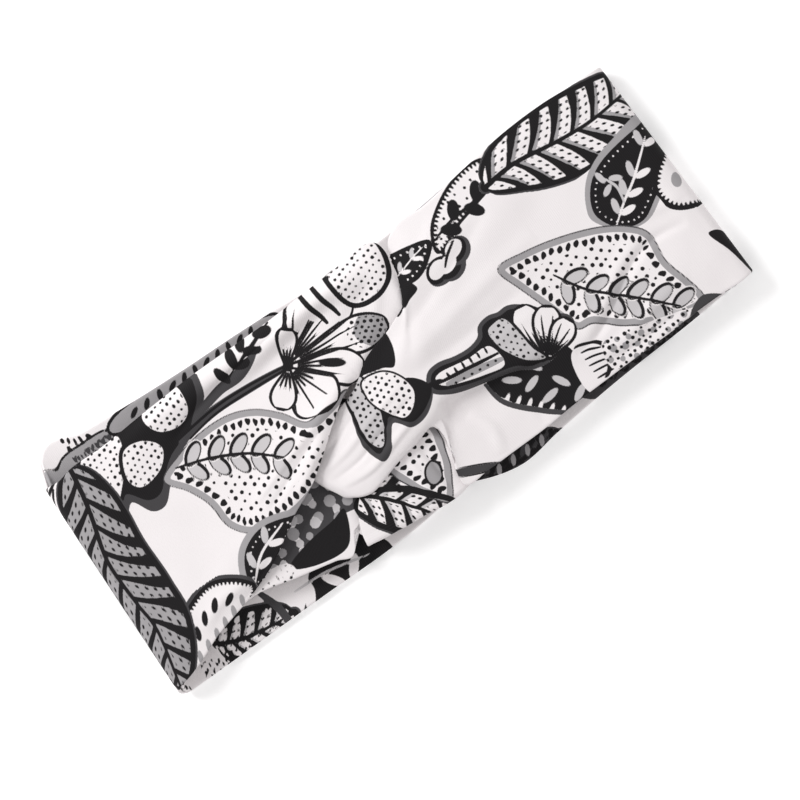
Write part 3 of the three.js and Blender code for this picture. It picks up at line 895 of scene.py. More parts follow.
def branch(cloth, rib, size, step):
    """A thin stem with solid black oval leaves."""
    sprig(cloth, rib, size, step, fill="black", ink="black", wide=0.45, line=0.9)


# %% [markdown]
# ## What is printed where
#
# Each sheet gets its plants one by one, because the eye meets them first: a big veined
# leaf at each end, broad dotted leaves, a rayed flower by the knot. Places are in
# millimetres on the band as it lies, and run on round the end folds.


# %% A row of plants that repeats
def print_repeat(cloth):
    """A row of plants that repeats every 120 mm, for legs that show only in strips."""
    period = 120.0
    first = np.floor(cloth.x.min() / period)
    last = np.floor(cloth.x.max() / period)
    for n in np.arange(first, last + 1):
        x = n * period
        veined_leaf(cloth, [(x + 8, 44), (x + 13, 20), (x + 10, -8)], 12, "mid", 8, 0.9, 1.4, 1.1)
        dotted_leaf(cloth, [(x + 28, 30), (x + 48, 40), (x + 66, 30), (x + 70, 10), (x + 50, 2),
                            (x + 34, 12)], [(x + 34, 18), (x + 48, 22), (x + 64, 18)])
        black_leaf(cloth, [(x + 76, -6), (x + 80, 14), (x + 92, 26), (x + 100, 10), (x + 90, -6)],
                   [(x + 80, -2), (x + 88, 10), (x + 93, 22)], "mid")
        dotted_petal(cloth, [(x + 78, 34), (x + 86, 46), (x + 96, 44), (x + 94, 34)])
        dotted_petal(cloth, [(x + 97, 40), (x + 104, 47), (x + 112, 42), (x + 106, 33)])
        veined_leaf(cloth, [(x + 24, -12), (x + 42, -30), (x + 68, -38)], 9, "light", 7, 0.8)
        rayed_petal(cloth, (x + 84, -22), (x + 104, -12), 6, 7)
        rayed_petal(cloth, (x + 84, -23), (x + 102, -34), 6, 7)
        rayed_petal(cloth, (x + 83, -24), (x + 80, -44), 6, 7)
        branch(cloth, [(x + 60, -14), (x + 70, -20), (x + 83, -23)], 2.8, 5)
        veined_leaf(cloth, [(x + 2, -20), (x + 12, -34), (x + 30, -47)], 8, None, 6.5, 0.8)


FRONT_REACH = 131.0     # the front's own print ends here, on the turn to the back


def print_beyond(cloth, side):
    """The repeating row, kept to where the front's print has turned to the back."""
    print_repeat(cloth)
    cloth.depth[side * cloth.x < FRONT_REACH] = NO_INK


# %% Print of the left front
def print_left_front(cloth):
    """Veined leaf at the end, dotted leaf and petals, the flower, and the hook's leaves."""
    print_beyond(cloth, -1)
    cloth.shape("dark", [(-107, 20), (-104, 13.5), (-99, 17), (-95, 10.5), (-90, 9.5),
                         (-85, 14), (-80, 19), (-72, 23), (-62, 27), (-56, 41), (-80, 42),
                         (-104, 40)])
    cloth.shape("black", [(-107, 24), (-104, 17.5), (-99, 20.5), (-94, 14.5), (-89, 14),
                          (-84, 18.5), (-78, 23), (-66, 28), (-58, 40), (-79, 44), (-106, 42)])
    dotted_petal(cloth, [(-106, 38), (-97, 41), (-90, 38), (-93, 30), (-98, 24), (-104, 19.5),
                         (-106.5, 28)])
    dotted_petal(cloth, [(-95, 27), (-91, 33), (-84, 32.5), (-79.5, 27), (-84, 21),
                         (-92, 19), (-95.5, 22)])
    dotted_petal(cloth, [(-79.5, 38), (-77, 31.5), (-70, 29.5), (-65, 32), (-63, 38), (-66, 43),
                         (-75, 43)])
    dotted_leaf(cloth, [(-85.5, 16.8), (-76, 21), (-66, 23), (-55, 22.6), (-46, 19), (-39, 12.6),
                        (-33, 4.6), (-24, 5.4), (-16, 7), (-20, -2), (-36, -12), (-48, -16.5),
                        (-60, -18), (-70, -15.6), (-75.8, -9), (-77, 1), (-80.5, 9)],
                [(-79.7, 18), (-67.5, 13.8), (-56, 7.8), (-46.5, -0.5)])
    cloth.stroke("dark", [(-73, 24.5), (-58, 26.8), (-44, 26.4), (-28, 24.8)], 3.4)
    cloth.stroke("black", [(-74, 25.4), (-58, 27.6), (-44, 27.3), (-28, 25.2)], 0.8)
    cloth.stroke("black", [(-70, 23.6), (-58, 25.6), (-44, 25.4), (-28, 24.2)], 0.8)
    cloth.stroke("dark", [(-62, 29), (-52, 31.5), (-43, 32), (-33, 36)], 3.2)
    rayed_petal(cloth, (-27, 26), (-7, 42), 5.4, 4)
    rayed_petal(cloth, (-26.5, 25.8), (3, 31.5), 4.6, 4)
    rayed_petal(cloth, (-26.5, 25), (9.5, 18), 5.8, 4, "mid")
    rayed_petal(cloth, (-27, 24.5), (-6, 9.5), 5.6, 4)
    rayed_petal(cloth, (-28, 24), (-24.5, 4.5), 8.6, 6)
    rayed_petal(cloth, (-28, 24), (-38.4, 13.6), 3.9, 3)
    rayed_petal(cloth, (-28, 25), (-20.6, 36), 2.9, 3)
    cloth.oval("black", (-14.4, 17), 4.4, 1.5, -35)
    cloth.oval("black", (-27.6, 25), 2.2, 1.5, 20)
    for spot, tilt in [((-48.3, 34.6), 105), ((-42.4, 38), 75), ((-36.8, 40.8), 60),
                       ((-34.8, 36.2), -25), ((-40.8, 34.4), -10), ((-28.5, 39.6), -8)]:
        cloth.oval("black", spot, 3.3, 1.7, tilt)
    cloth.stroke("black", [(-47, 32.4), (-40, 36), (-33, 38.2), (-25, 41)], 0.9)
    black_leaf(cloth, [(-81, -31), (-79.5, -24), (-75, -18.5), (-67, -15.8), (-58, -17.6),
                       (-55, -20), (-66, -28), (-74, -33)],
               [(-80, -30), (-72, -23), (-60, -18.5)], "mid")
    spot, depth, place, _ = cloth.outline([(-121, -46), (-114, -33), (-106, -25.5), (-94, -21.5),
                                           (-85, -25), (-80.5, -31), (-88, -38), (-104, -44)])
    cloth.lay(spot, "dark", depth + 1.6)
    cloth.lay(spot, "black", depth + 0.3)
    cloth.lay(spot, None, depth - 0.9)
    cloth.dots("black", spot, depth + 1, place, (depth - 0.9) * 0.45, 1.5, 0.36)
    for spot, tilt in [((-115, -41), 80), ((-110.5, -37), 75), ((-106, -33.4), 70),
                       ((-101, -30.4), 60), ((-95.6, -28.6), 50), ((-90.4, -29.6), 30)]:
        cloth.oval("black", spot, 2.4, 0.95, tilt)
    for n in range(6):
        cloth.oval("mid", (-110 + 4.6 * n, -40.6 + 1.6 * n), 2.2, 0.8, 70)
    veined_leaf(cloth, [(-110, 38.5), (-112.5, 24), (-117.5, 5), (-117.5, -12), (-117, -25),
                        (-121.5, -45)], 12.6, "mid", 9.6, 1.25, 1.8, 1.35, 0.5)
    cloth.stroke("black", [(-128, 35), (-122, 35.5), (-115, 39.5)], 1.1)
    cloth.stroke("black", [(-128, 27), (-123.6, 31), (-119, 36)], 1.0)
    for x, y in [(-125, 32), (-126, 22), (-121.6, 38)]:
        cloth.oval("black", (x, y), 1.6, 0.8, 60)
    # where the tube turns the corner: the far lobe, then what comes out below the tail
    cloth.shape(None, [(-14, 44.5), (-12, 33), (-5, 31), (1, 32), (1, 45)])
    for x in (-9.5, -4.5):
        cloth.stroke("black", [(x - 1.5, 45), (x - 0.8, 38), (x + 0.8, 33), (x + 1.4, 29.5)], 1.7)
    dotted_petal(cloth, [(1, 43), (8, 45), (19, 45.5), (20.5, 39), (17, 30.5), (9, 28),
                         (2.5, 31)], "black", None, 1.7)
    veined_leaf(cloth, [(-36, -24), (-27, -31), (-14, -47)], 8.4, None, 7.4, 0.9, 1.9, 1.0, 0.5,
                "light")
    dotted_leaf(cloth, [(-20, -22), (-14, -14), (-2, -13), (1.6, -20), (0.4, -29), (-2.4, -37),
                        (-8.4, -45), (-15, -36)])
    cloth.oval("black", (-7.4, -34), 3.8, 2.6, 55, 0.7)
    cloth.oval("mid", (-7.4, -34), 3.8, 2.6, 55)
    cloth.stroke("black", [(-28, -27), (-18, -33.5), (-6.5, -46)], 2.3)


# %% Print of the right front
def print_right_front(cloth):
    """Leaves along the far edge, dotted leaf, black leaf, scalloped bud, and the knot's
    two petals."""
    print_beyond(cloth, 1)
    dotted = [(36.6, 28), (39.6, 35), (46, 40.6), (55, 45), (65, 46.4), (73, 42.5), (66, 36.6),
              (56, 33.6), (47, 31), (41, 27.4)]
    spot, depth, place, _ = cloth.outline(dotted)
    cloth.lay(spot, "black", depth + 0.4)
    cloth.lay(spot, None, depth - 0.6)
    cloth.dots("black", spot, depth, place, (depth - 0.9) * 0.5, 1.7, 0.4)
    cloth.scatter("black", spot, depth, 3.6, 0.36, 10, 1.6)
    branch(cloth, [(38.6, 31.6), (47, 34), (57, 35), (67, 36.8)], 2.8, 5.6)
    for lobe in [(33.4, 22.4), (37.6, 21.6), (42, 25)]:
        cloth.oval("dark", (lobe[0] + 0.7, lobe[1] - 0.7), 4.0, 2.9, 25, 1.5)
        cloth.oval("black", lobe, 4.0, 2.9, 25, 0.9)
    for lobe in [(33.4, 22.8), (37.6, 22.4), (42, 25.6)]:
        cloth.oval(None, lobe, 3.8, 2.6, 25)
    cloth.stroke("black", [(36, 22), (39, 25), (43.6, 28)], 0.8)
    veined_leaf(cloth, [(63.5, 36.8), (76, 38), (95, 35.6), (110, 35.2), (132, 38)],
                12.4, None, 8.4, 0.95, 1.7, 1.2, 0.55, "mid")
    cloth.shape("mid", [(87.6, 6), (88.6, 12), (93, 18.4), (99, 22.6), (108, 25.4), (124, 28),
                        (134, 20), (124, 8), (113, 0.6), (103, -4.4), (94, -2)])
    black_leaf(cloth, [(89.6, 6), (90.6, 12), (95.4, 18), (103, 21.8), (116, 24), (128, 24),
                       (126, 12), (112, 2), (102, -3.4), (94, -1)],
               [(93, 0), (100, 5.4), (108, 10.6), (119, 20)])
    cloth.stroke("light", [(100, 5.4), (101, 11), (99, 16)], 1.0)
    for centre, tilt in [((97.6, 12), 30), ((102.4, 14), -30), ((98, 17), 100)]:
        cloth.oval("light", centre, 2.4, 1.1, tilt)
    spot, depth, place, _ = cloth.outline([(112.5, 3), (113, -4), (118, -8), (126, -9), (136, 0),
                                           (132, 12), (120, 10)])
    cloth.lay(spot, "black", depth + 1.6)
    cloth.lay(spot, None, depth)
    cloth.dots("black", spot, depth + 1, place, depth * 0.45, 1.7, 0.4)
    cloth.oval("mid", (119.5, 1.5), 2.6, 1.9, 60)
    dotted_leaf(cloth, [(50.6, 11), (61, 10.8), (74, 8), (87, 3.4), (96, -2.2), (101, -9),
                        (100.2, -20), (104, -37), (95, -38), (78, -31), (68, -23), (61.5, -21),
                        (57.6, -10.4), (53.6, 1)],
                [(65.5, -1.5), (72.5, -12.6), (83, -22.6), (95.5, -35)])
    cloth.shape("black", [(25, -19), (35, -17), (52, -22), (56, -28), (52, -44), (45, -45),
                          (36, -38), (28, -28)])
    for centre, tilt in [((33, -23), -35), ((38, -28), 20), ((42, -23), -60), ((47, -33), -60),
                         ((41, -35), 10), ((50, -40), 30)]:
        cloth.oval("light", centre, 3.4, 1.3, tilt)
    for n in range(6):
        cloth.oval(None, (28 + 2.7 * n, -27.5 - 2.9 * n), 2.1, 0.7, 35)
    cloth.stroke("dark", [(24.6, -19), (26.6, -28), (36, -38), (46, -46)], 1.8)
    cloth.shape("black", [(57, -26), (66, -29.5), (66, -36), (61, -41), (57, -36)])
    cloth.shape(None, [(56.5, -26.5), (64.6, -30), (64.4, -35.6), (60, -40.5), (53, -42),
                       (53, -32)])
    for n in range(5):
        ray = [(58, -29 - 2.6 * n), (61, -29.6 - 2.5 * n), (64.6, -31 - 2.2 * n)]
        cloth.stroke("black", ray, 0.6)
    spot, depth, _, _ = cloth.outline([(66, -30), (80, -32.5), (96, -37), (104, -41), (90, -44),
                                       (66, -42)])
    cloth.lay(spot, None, depth)
    cloth.scatter("mid", spot, depth, 4, 1.0, 40, 0.6)
    cloth.scatter("black", spot, depth, 2.4, 0.5, 10, 0.3)
    scallops = [(8.5, -10), (10.5, -5.5), (15, -4.6), (21, -6), (27, -6.4), (32, -5),
                (34.6, -1.8), (38.5, -1), (42, -2), (46, -2), (50, -4.4), (53.6, -8), (55.6, -12),
                (61, -16), (60, -20), (50, -24), (42, -23.4), (36, -19.8), (24, -17), (13, -13.6)]
    cloth.shape("dark", scallops, 0.9)
    cloth.shape("black", scallops, -0.7)
    bud, depth, place, _ = cloth.outline([(11, -8.5), (14, -6.8), (24, -8.4), (33, -9),
                                          (34, -17), (26, -16), (14, -12)])
    cloth.lay(bud, None, depth)
    cloth.stroke("black", [(11.5, -9.4), (20, -10.6), (34, -12.6)], 1.2)
    cloth.stroke("mid", [(14, -11.4), (24, -13), (34, -15)], 2.4)
    for n in range(6):
        x = 15.5 + 3.1 * n
        cloth.stroke("black", [(x, -9.9 - 0.1 * n), (x + 0.2, -8.2 - 0.1 * n)], 0.7)
        cloth.oval("black", (x + 1, -12.6 - 0.35 * n), 0.45, 0.4, 0)
    rayed_petal(cloth, (46.4, -24), (49.6, -3.4), 4.6, 4)
    rayed_petal(cloth, (47, -24), (57.6, -8.6), 4.4, 5)
    rayed_petal(cloth, (47.5, -24), (61.5, -17), 3.8, 5)
    dotted_petal(cloth, [(35.4, -5), (38, -3.6), (42.5, -4), (44, -10), (45, -18), (47, -23),
                         (41, -20), (37.4, -15), (35.4, -10)], "black", "light", 0.9)
    cloth.shape("black", [(118, -20), (121, -30), (125, -44), (131, -44), (127, -26)])
    cloth.shape("dark", [(96, -41), (104, -36.5), (112, -43), (104, -46)])
    # waist and tail of the knot
    cloth.shape("black", [(0, 14), (6, 15.6), (5.6, 9), (2.6, 4), (-1, 5.6), (-6, 7), (-14, 9),
                          (-14, 12), (-6, 13)])
    cloth.shape("dark", [(-21, -8), (-22, -14), (-19, -20.6), (-14, -18), (-9, -12), (-4, -16.6),
                         (3, -15.4), (8.6, -9.4), (4, -4), (-8, 0), (-17, 4)])
    cloth.shape("black", [(-20, -6), (-20.4, -13), (-18.6, -18), (-14, -15), (-9, -9), (-4, -14.6),
                          (3, -13.6), (8.6, -8.8), (4, -2), (-8, 2), (-17, 6)])
    dotted_petal(cloth, [(-16.6, 7), (-9.6, 8), (-9, 0), (-11, -8), (-16, -16.4), (-19.4, -13),
                         (-18.6, -4)], "black", "light", 0.6)
    dotted_petal(cloth, [(-9.6, 5.6), (-3, 5), (1.4, 1), (3.2, -6), (0, -11), (-5, -12.4),
                         (-9.4, -6), (-11.2, 0)], "black", None, 0.6)
    cloth.stroke("black", [(6, -9), (9, -8.4), (12.5, -9)], 1.5)
    # the deep fold beside the far lobe
    black_leaf(cloth, [(17, 26), (18.5, 35.4), (25, 36), (37, 32.5), (31, 26), (24, 23.6)],
               [(19, 28), (26, 30), (34, 32)], None, 0.62)
    cloth.shape("black", [(13, 17), (15.6, 24), (21, 26), (24, 21.6), (19, 19.4)])
    cloth.shape("mid", [(60, 47), (52, 45.2), (44, 47)])
    stem = [(-6, -36.5), (3, -40.4), (13, -44.8)]
    cloth.stroke("black", stem, 3.6)
    cloth.stroke("dark", stem, 2.6)


# %% Print of the hidden and half-hidden legs
def print_left_strips(cloth, shift):
    """The back's two edges that show beside the left tube's front."""
    cloth.shape(None, [(shift - 132, 58), (shift - 132, -58), (shift + 4, -58), (shift + 4, 58)])
    veined_leaf(cloth, [(shift - 108, -40), (shift - 92, -44.5), (shift - 74, -47)], 8.2, None,
                6.4, 0.9, 1.6, 1.1, 0.5, "light")
    corner = [(shift - 126, -42), (shift - 108, -45), (shift - 102, -54), (shift - 126, -54)]
    cloth.scatter("black", *cloth.outline(corner)[:2], 2.7, 0.75)
    cloth.stroke("dark", [(shift - 79, -34), (shift - 76.4, -44), (shift - 77, -54)], 2.4)
    cloth.shape("black", [(shift - 70, -52), (shift - 66, -43), (shift - 60, -37),
                          (shift - 40, -36), (shift - 36, -52)])
    for x, tilt in [(-67, 62), (-57.4, -52), (-49, 50)]:
        cloth.oval(None, (shift + x, -45.5), 4.6, 1.7, tilt)
    cloth.stroke("light", [(shift - 70, -41), (shift - 58, -41.5), (shift - 42, -45)], 0.9)
    for n, (x, y) in enumerate([(-117, 48.6), (-112.6, 47.4), (-108.4, 45.8), (-104, 45.4),
                                (-99, 44.6), (-116, 45)]):
        cloth.oval("black", (shift + x, y), 1.5, 1.0, 35 * n)
    band = [(shift - 126, 42.6), (shift - 104, 43.4), (shift - 91, 42.4), (shift - 90, 34),
            (shift - 126, 34)]
    cloth.shape("black", band, 0.8)
    cloth.shape("mid", band)
    for n in range(9):
        x = shift - 118 + 3.2 * n
        cloth.stroke("dark", [(x, 41.6), (x + 0.8, 39.8), (x + 2, 41.4)], 1.1)
        cloth.stroke("black", [(x + 1.4, 39.4), (x + 2.6, 38.2)], 0.9)
    band = [(shift - 82, 45.6), (shift - 30, 45), (shift - 26, 39), (shift - 84, 39)]
    cloth.shape("black", band, 0.9)
    cloth.shape("mid", band, -0.2)
    for n in range(11):
        x = shift - 79 + 4.7 * n
        cloth.oval("black", (x, 42.4), 1.9, 0.8, 35 + 20 * (n % 3))


def print_right_inner(cloth):
    """The right tube's lower leg, and the back's near edge that shows beside its front."""
    print_repeat(cloth)
    shift = INNER_SHIFT
    cloth.shape(None, [(shift - 4, 55), (shift - 4, -55), (shift + 128, -55), (shift + 128, 55)])
    veined_leaf(cloth, [(shift - 12, -40), (shift + 8, -47.5), (shift + 37, -48.5)], 7.5, "dark",
                5, 1.0)
    for x in (12, 18, 24, 30):
        cloth.oval("mid", (shift + x, -46.6), 2.2, 0.9, 60)
    cloth.shape("dark", [(shift + 52, -39), (shift + 60, -48), (shift + 92, -48),
                         (shift + 98, -39)])
    for n in range(9):
        x = shift + 57 + 4.4 * n
        cloth.stroke("black", [(x, -41), (x + 1.6, -43), (x + 3.4, -42)], 1.1)
    cloth.shape("mid", [(shift + 37, 48), (shift + 50, 48), (shift + 50, 42), (shift + 37, 42)])


def print_left_inner(cloth):
    """The strip of the left tube's lower leg that shows under the flap."""
    print_repeat(cloth)
    cloth.shape(None, [(-90, -30), (-62, -10), (-20, 10), (0, -10), (-6, -40), (-40, -46),
                       (-88, -40)])
    spot, depth, _, _ = cloth.outline([(-84, -36), (-70, -26), (-50, -10), (-20, 6), (-16, -20),
                                       (-30, -29), (-44, -28), (-60, -31.5), (-72, -35)])
    cloth.lay(spot, "dark", depth)
    cloth.scatter("mid", spot, depth, 6.4, 1.9, 30, 0.4)
    cloth.scatter("light", spot, depth, 7.7, 1.5, 75, 0.4)
    cloth.shape("black", [(-67, -33), (-58, -29.5), (-46, -28), (-40, -27), (-46, -38),
                          (-58, -37.6)])
    cloth.shape("black", [(-37, -28), (-35, -42), (-28, -44), (-28, -28)])
    spot, depth, _, _ = cloth.outline([(-85, -33.4), (-78, -29.5), (-68, -30.6), (-66, -35),
                                       (-74, -38)])
    cloth.lay(spot, None, depth)
    cloth.scatter("black", spot, depth, 2.2, 0.4, 15, 0.3)
    print_left_strips(cloth, -INNER_SHIFT)


# %% Lay the prints
prints_by_piece = {
    "left_front": print_left_front,
    "right_front": print_right_front,
    "left_hook_front": print_left_front,
    "left_inner": print_left_inner,
    "right_inner": print_right_inner,
    "left_back": print_repeat,
    "right_back": print_repeat,
}
for name, (piece, places_on_print, _) in sheets.items():
    cloth = Print(places_on_print[:, 0], places_on_print[:, 1])
    prints_by_piece[name](cloth)
    cloth.finish(piece)
    print(name, "share of cloth inked:", round(float((cloth.depth.max(axis=1) > 0).mean()), 2))

# %% [markdown]
# ## Printed jersey
#
# The ground is a slightly warm white and the inks sink into it. Jersey shows fine
# upright ribs of V-shaped loops, which catch the light as a small bump and leave
# tiny gaps in the ink; the ground is also painted a little darker in the hollows
# between the loops, as painted shade. The loops follow the cloth's own flat measure,
# so they turn and gather with it. A picture of knit could be tiled on instead, but a
# formula has no seams and keeps its size.


# %% Shader helpers
class Wire:
    """A socket that can be used in sums: each operation adds a Math node."""

    def __init__(self, nodes, socket):
        self.nodes, self.socket = nodes, socket

    def _math(self, operation, *values):
        return self.nodes.node("ShaderNodeMath", {"operation": operation}, values)

    def __add__(self, other):
        return self._math("ADD", self, other)

    __radd__ = __add__

    def __mul__(self, other):
        return self._math("MULTIPLY", self, other)

    __rmul__ = __mul__

    def __sub__(self, other):
        return self._math("SUBTRACT", self, other)

    def __rsub__(self, other):
        return self._math("SUBTRACT", other, self)

    def __truediv__(self, other):
        return self._math("DIVIDE", self, other)

    def sin(self):
        return self._math("SINE", self)

    def fraction(self):
        return self._math("FRACT", self)

    def size(self):
        return self._math("ABSOLUTE", self)

    def clamped(self):
        return self._math("MINIMUM", self._math("MAXIMUM", self, 0.0), 1.0)


class Nodes:
    """A material's nodes, added one call at a time."""

    def __init__(self, name):
        self.material = bpy.data.materials.new(name)
        self.material.use_nodes = True
        self.tree = self.material.node_tree
        self.shader = self.tree.nodes["Principled BSDF"]

    def plug(self, socket, value):
        """Link a wire to the socket, or set the socket to a constant."""
        if isinstance(value, Wire):
            self.tree.links.new(value.socket, socket)
        else:
            socket.default_value = value

    def node(self, kind, settings=(), values=(), output=0):
        """Any node: its settings first, then its sockets by order or by name."""
        made = self.tree.nodes.new(kind)
        for key, setting in dict(settings).items():
            setattr(made, key, setting)
        pairs = values.items() if isinstance(values, dict) else enumerate(values)
        for key, value in pairs:
            self.plug(made.inputs[key], value)
        return Wire(self, made.outputs[output])

    def mix(self, factor, low, high):
        """A colour between low and high."""
        made = self.tree.nodes.new("ShaderNodeMix")
        made.data_type = "RGBA"
        self.plug(made.inputs[0], factor)
        self.plug(made.inputs[6], low)
        self.plug(made.inputs[7], high)
        return Wire(self, made.outputs[2])

    def noise(self, vector, scale, detail):
        """Cloudy noise between 0 and 1: scale is how many clouds a metre."""
        values = {"Vector": vector, "Scale": scale, "Detail": detail}
        return self.node("ShaderNodeTexNoise", {}, values, "Fac")

    def bump(self, height, strength, distance):
        """Normals that lean as if the surface rose by height times the distance."""
        values = {"Strength": strength, "Distance": distance, "Height": height}
        return self.node("ShaderNodeBump", {}, values, "Normal")

    def set(self, **values):
        """The shader's own sockets, by name with underscores for blanks."""
        for key, value in values.items():
            self.plug(self.shader.inputs[key.replace("_", " ")], value)


# %% Printed jersey material
GROUND = (0.86, 0.825, 0.83, 1)
WALE = 0.00072       # metres from one upright rib of loops to the next
COURSE = 0.00062     # metres from one row of loops to the next
SHARPNESS = 5.0      # an ink goes from bare to full over one part in this of a millimetre


def printed_jersey():
    """Ground, inks, knitted loops and fuzz, all laid out on the flat cloth's measure."""
    jersey = Nodes("printed_jersey")
    ink = jersey.node("ShaderNodeVertexColor", {"layer_name": "ink"}, (), "Color")
    depths = jersey.node("ShaderNodeSeparateColor", {}, [ink], "Red")
    parts = depths.socket.node.outputs
    alpha = Wire(jersey, ink.socket.node.outputs["Alpha"])
    uv = jersey.node("ShaderNodeUVMap", {"uv_map": "cloth"})
    flat = jersey.node("ShaderNodeSeparateXYZ", {}, [uv], "X").socket.node
    along, across = Wire(jersey, flat.outputs["X"]), Wire(jersey, flat.outputs["Y"])

    wale = along / WALE
    course = across / COURSE
    lean = ((wale.fraction() - 0.5).size() * 1.3 + course).fraction()
    loop = ((lean - 0.5).size() * 2.0) * 0.55 + ((wale * 6.2832).sin() * 0.5 + 0.5) * 0.45
    cloudy = jersey.noise(uv, 70.0, 4.0)
    fuzz = jersey.noise(uv, 2600.0, 3.0)

    ground = jersey.mix((cloudy - 0.35).clamped() * 0.5, GROUND, (0.82, 0.775, 0.78, 1))
    # painted shade: the ground is darkened a little in the hollows between the knitted loops,
    # where the bump puts the surface lowest
    ground = jersey.mix((1.0 - loop).clamped() * 0.16, ground, (0.64, 0.585, 0.595, 1))
    ground = jersey.mix(((fuzz - 0.42) * 2.4).clamped() * 0.22, ground, (0.66, 0.62, 0.635, 1))
    bleed = (fuzz - 0.5) * 0.22 + (loop - 0.5) * 0.1
    colour = ground
    for depth, tone in [
        (alpha, (0.56, 0.54, 0.55, 1)),
        (Wire(jersey, parts["Blue"]), (0.35, 0.338, 0.347, 1)),
        (Wire(jersey, parts["Green"]), (0.052, 0.050, 0.053, 1)),
        (Wire(jersey, parts["Red"]), (0.0075, 0.0068, 0.0076, 1)),
    ]:
        edge = ((depth + bleed) * SHARPNESS + 0.5).clamped()
        worn = jersey.mix((1.0 - loop).clamped() * 0.03, tone, (0.42, 0.40, 0.41, 1))
        colour = jersey.mix(edge, colour, worn)
    height = loop + (fuzz - 0.5) * 0.5
    bump = jersey.bump(height, 0.35, 0.00016)
    rough = 0.80 + (fuzz - 0.5) * 0.18
    jersey.set(
        Base_Color=colour, Roughness=rough, Normal=bump, Specular_IOR_Level=0.12,
        Sheen_Weight=0.02, Sheen_Roughness=0.4,
    )
    return jersey.material


jersey_material = printed_jersey()
for piece, _, _ in sheets.values():
    piece.data.materials.append(jersey_material)


def table_top():
    """Plain white, with a little light of its own so that it stays white to its edge."""
    top = Nodes("white_table")
    top.set(Base_Color=(0.95, 0.95, 0.95, 1), Roughness=0.7)
    top.set(Emission_Color=(1, 1, 1, 1), Emission_Strength=0.22)
    return top.material


floor.data.materials.append(table_top())

# %% [markdown]
# ## The sewing
#
# Each tube is closed by one zigzag seam on the side that faces the head. At the back
# the four ends stand up together: a straight seam holds them, and an overlock thread
# wraps their raw edges. A ridge with a stripe on it would be simpler, but from below
# and from the side these stitches are the only detail, so each is a real thread.


# %% Threads
THREAD = 0.21            # radius
STITCH = 2.6
ZIGZAG = 0.8             # length of one zig along the seam
SWING = 0.95             # how far a zigzag goes to each side
OVERLOCK_PITCH = 1.8
OVERLOCK_DEPTH = 1.1     # how far down the turned-up edges the overlock reaches
STITCH_DEPTH = 1.8       # how far down them the straight seam lies
SEAM_END = 43.4          # half the back seam's length
LIP_SIDE = 3.2           # outside of the four turned-up edges, from the middle
SEAM_START = 60.0        # where a tube's seam comes out of the knot
SEAM_STOP = 5.0          # where it reaches the back seam


def thread_tube(name, path, outward, node, sides=6):
    """A closed round thread along a path, its rings set square to it.

    Each ring's two axes are the cross product of the path's direction with the way
    outward from the cloth, and the cross product of that axis with the direction.
    """
    ahead = np.gradient(path, axis=0)
    ahead /= np.linalg.norm(ahead, axis=1, keepdims=True)
    wide = np.cross(ahead, outward)
    wide /= np.linalg.norm(wide, axis=1, keepdims=True)
    tall = np.cross(wide, ahead)
    angle = np.linspace(0, 2 * np.pi, sides, endpoint=False)
    ring = np.cos(angle)[:, None] * wide[:, None] + np.sin(angle)[:, None] * tall[:, None]
    verts = (path[:, None] + THREAD * ring).reshape(-1, 3) * MM
    steps = np.concatenate([[0], np.cumsum(np.linalg.norm(np.diff(path, axis=0), axis=1))])
    uv = np.stack(np.meshgrid(steps, angle * THREAD, indexing="ij"), axis=2).reshape(-1, 2) * MM
    piece = rings_mesh(name, verts, len(path), sides, uv)
    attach(piece, "root")
    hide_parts(node)
    return piece


def zigzag_seam(name, sheet, face, node):
    """A zigzag thread along the middle of an inner leg, on the face to the head.

    It runs from where the leg leaves the knot, round the end fold, to the back seam.
    """
    points, shares = grids[sheet]
    normal = unit_normals(points) * face
    middle = len(shares) // 2
    spine = points[:, middle]
    reach = np.abs(spine[:, 0])
    fold = int(reach.argmax())
    first = int(np.abs(reach[:fold] - SEAM_START).argmin())
    last = fold + int(np.abs(reach[fold:] - SEAM_STOP).argmin())
    gaps = np.linalg.norm(np.diff(spine[first:last], axis=0), axis=1)
    along = np.concatenate([[0], np.cumsum(gaps)])
    at = np.arange(0, along[-1], ZIGZAG / 2)
    lean = np.array([0, 1, 0, -1])[np.arange(len(at)) % 4] * SWING
    wide = points[first:last, middle + 4] - points[first:last, middle - 4]
    wide /= np.linalg.norm(wide, axis=1, keepdims=True)
    centre, lift, wide = (
        np.stack([np.interp(at, along, vectors[:, k]) for k in range(3)], axis=1)
        for vectors in (spine[first:last], normal[first:last, middle], wide)
    )
    path = centre + wide * lean[:, None] + lift * (CLOTH / 2 + THREAD * 0.8)
    return thread_tube(name, path, lift, node)


def overlock_path():
    """A thread that goes over the turned-up edges and back, one pass after another.

    Each pass leans half a pitch along the seam, and a short run joins it to the next.
    """
    low, high = LIP_TOP - OVERLOCK_DEPTH, LIP_TOP + 2 * THREAD
    section = [(-1.0, low, 0), (-1.0, high - 0.72, 0.02), (-0.86, high - 0.2, 0.1),
               (0, high, 0.25), (0.86, high - 0.2, 0.4), (1.0, high - 0.72, 0.48),
               (1.0, low, 0.5)]
    path, outward = [], []
    for n, y in enumerate(np.arange(-SEAM_END, SEAM_END, OVERLOCK_PITCH)):
        way = 1 if n % 2 == 0 else -1
        for x, z, lean in section:
            path.append((way * x * (LIP_SIDE + THREAD), y + lean * OVERLOCK_PITCH, z))
            outward.append((way * x, 0.001, 0.15 + (1.0 if abs(x) < 0.95 else 0.0)))
    return np.array(path), np.array(outward)


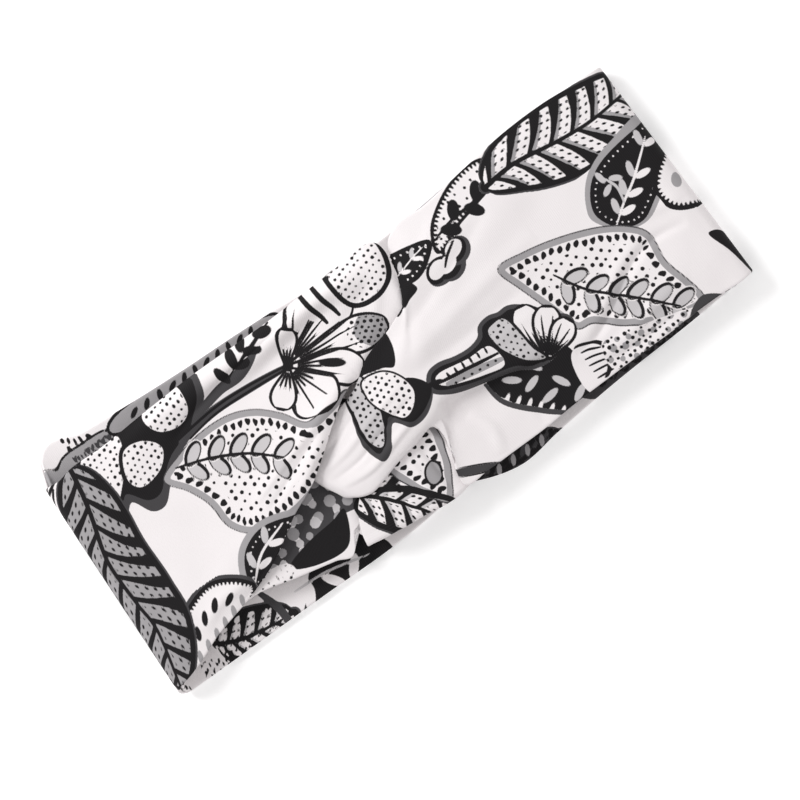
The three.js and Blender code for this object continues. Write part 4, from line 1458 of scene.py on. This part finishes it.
def stitch_path(side):
    """A straight seam's thread: it lies on the cloth and dips into it at each stitch."""
    y = np.arange(-SEAM_END, SEAM_END, STITCH / 8)
    dip = (0.5 - 0.5 * np.cos(2 * np.pi * y / STITCH)) ** 5
    x = side * (LIP_SIDE - 0.05 + THREAD - 0.55 * dip)
    outward = np.tile([side, 0.0, 0.001], (len(y), 1))
    return np.stack([x, y, np.full(len(y), LIP_TOP - STITCH_DEPTH)], axis=1), outward


threads = [
    zigzag_seam("left_seam_thread", "left_inner", 1, "left_tube_seam"),
    zigzag_seam("right_seam_thread", "right_inner", -1, "right_tube_seam"),
    thread_tube("overlock", *overlock_path(), "back_seam_overlock"),
    thread_tube("needle_thread", *stitch_path(-1), "back_seam_needle_thread"),
    thread_tube("bobbin_thread", *stitch_path(1), "back_seam_bobbin_thread"),
]
for piece in threads:
    print(piece.name, "faces:", len(piece.data.polygons))


# %% Thread material
def sewing_thread():
    """Two plies twisted together: slanted bands that lift the surface and shade it."""
    thread = Nodes("sewing_thread")
    uv = thread.node("ShaderNodeUVMap", {"uv_map": "cloth"})
    parts = thread.node("ShaderNodeSeparateXYZ", {}, [uv], "X").socket.node
    along, around = Wire(thread, parts.outputs["X"]), Wire(thread, parts.outputs["Y"])
    ply = ((along / 0.0006 + around / 0.00066).fraction() - 0.5).size() * 2.0
    fuzz = thread.noise(uv, 9000.0, 2.0)
    shade = (ply * 0.5 + fuzz * 0.4).clamped()
    colour = thread.mix(shade, (0.88, 0.86, 0.85, 1), (0.58, 0.56, 0.555, 1))
    height = (1.0 - ply) + fuzz * 0.3
    bump = thread.bump(height, 0.5, 0.00008)
    thread.set(Base_Color=colour, Roughness=0.62 + fuzz * 0.15, Normal=bump)
    thread.set(Specular_IOR_Level=0.3, Sheen_Weight=0.1)
    return thread.material


thread_material = sewing_thread()
for piece in threads:
    piece.data.materials.append(thread_material)

# %% Each sheet's length and cut area, worked out in metres
for name, (piece, _, length) in sheets.items():
    cut_width = CUT_WIDTHS.get(name, FLAT_WIDTH)
    length * MM
    cut_width * length * MM * MM
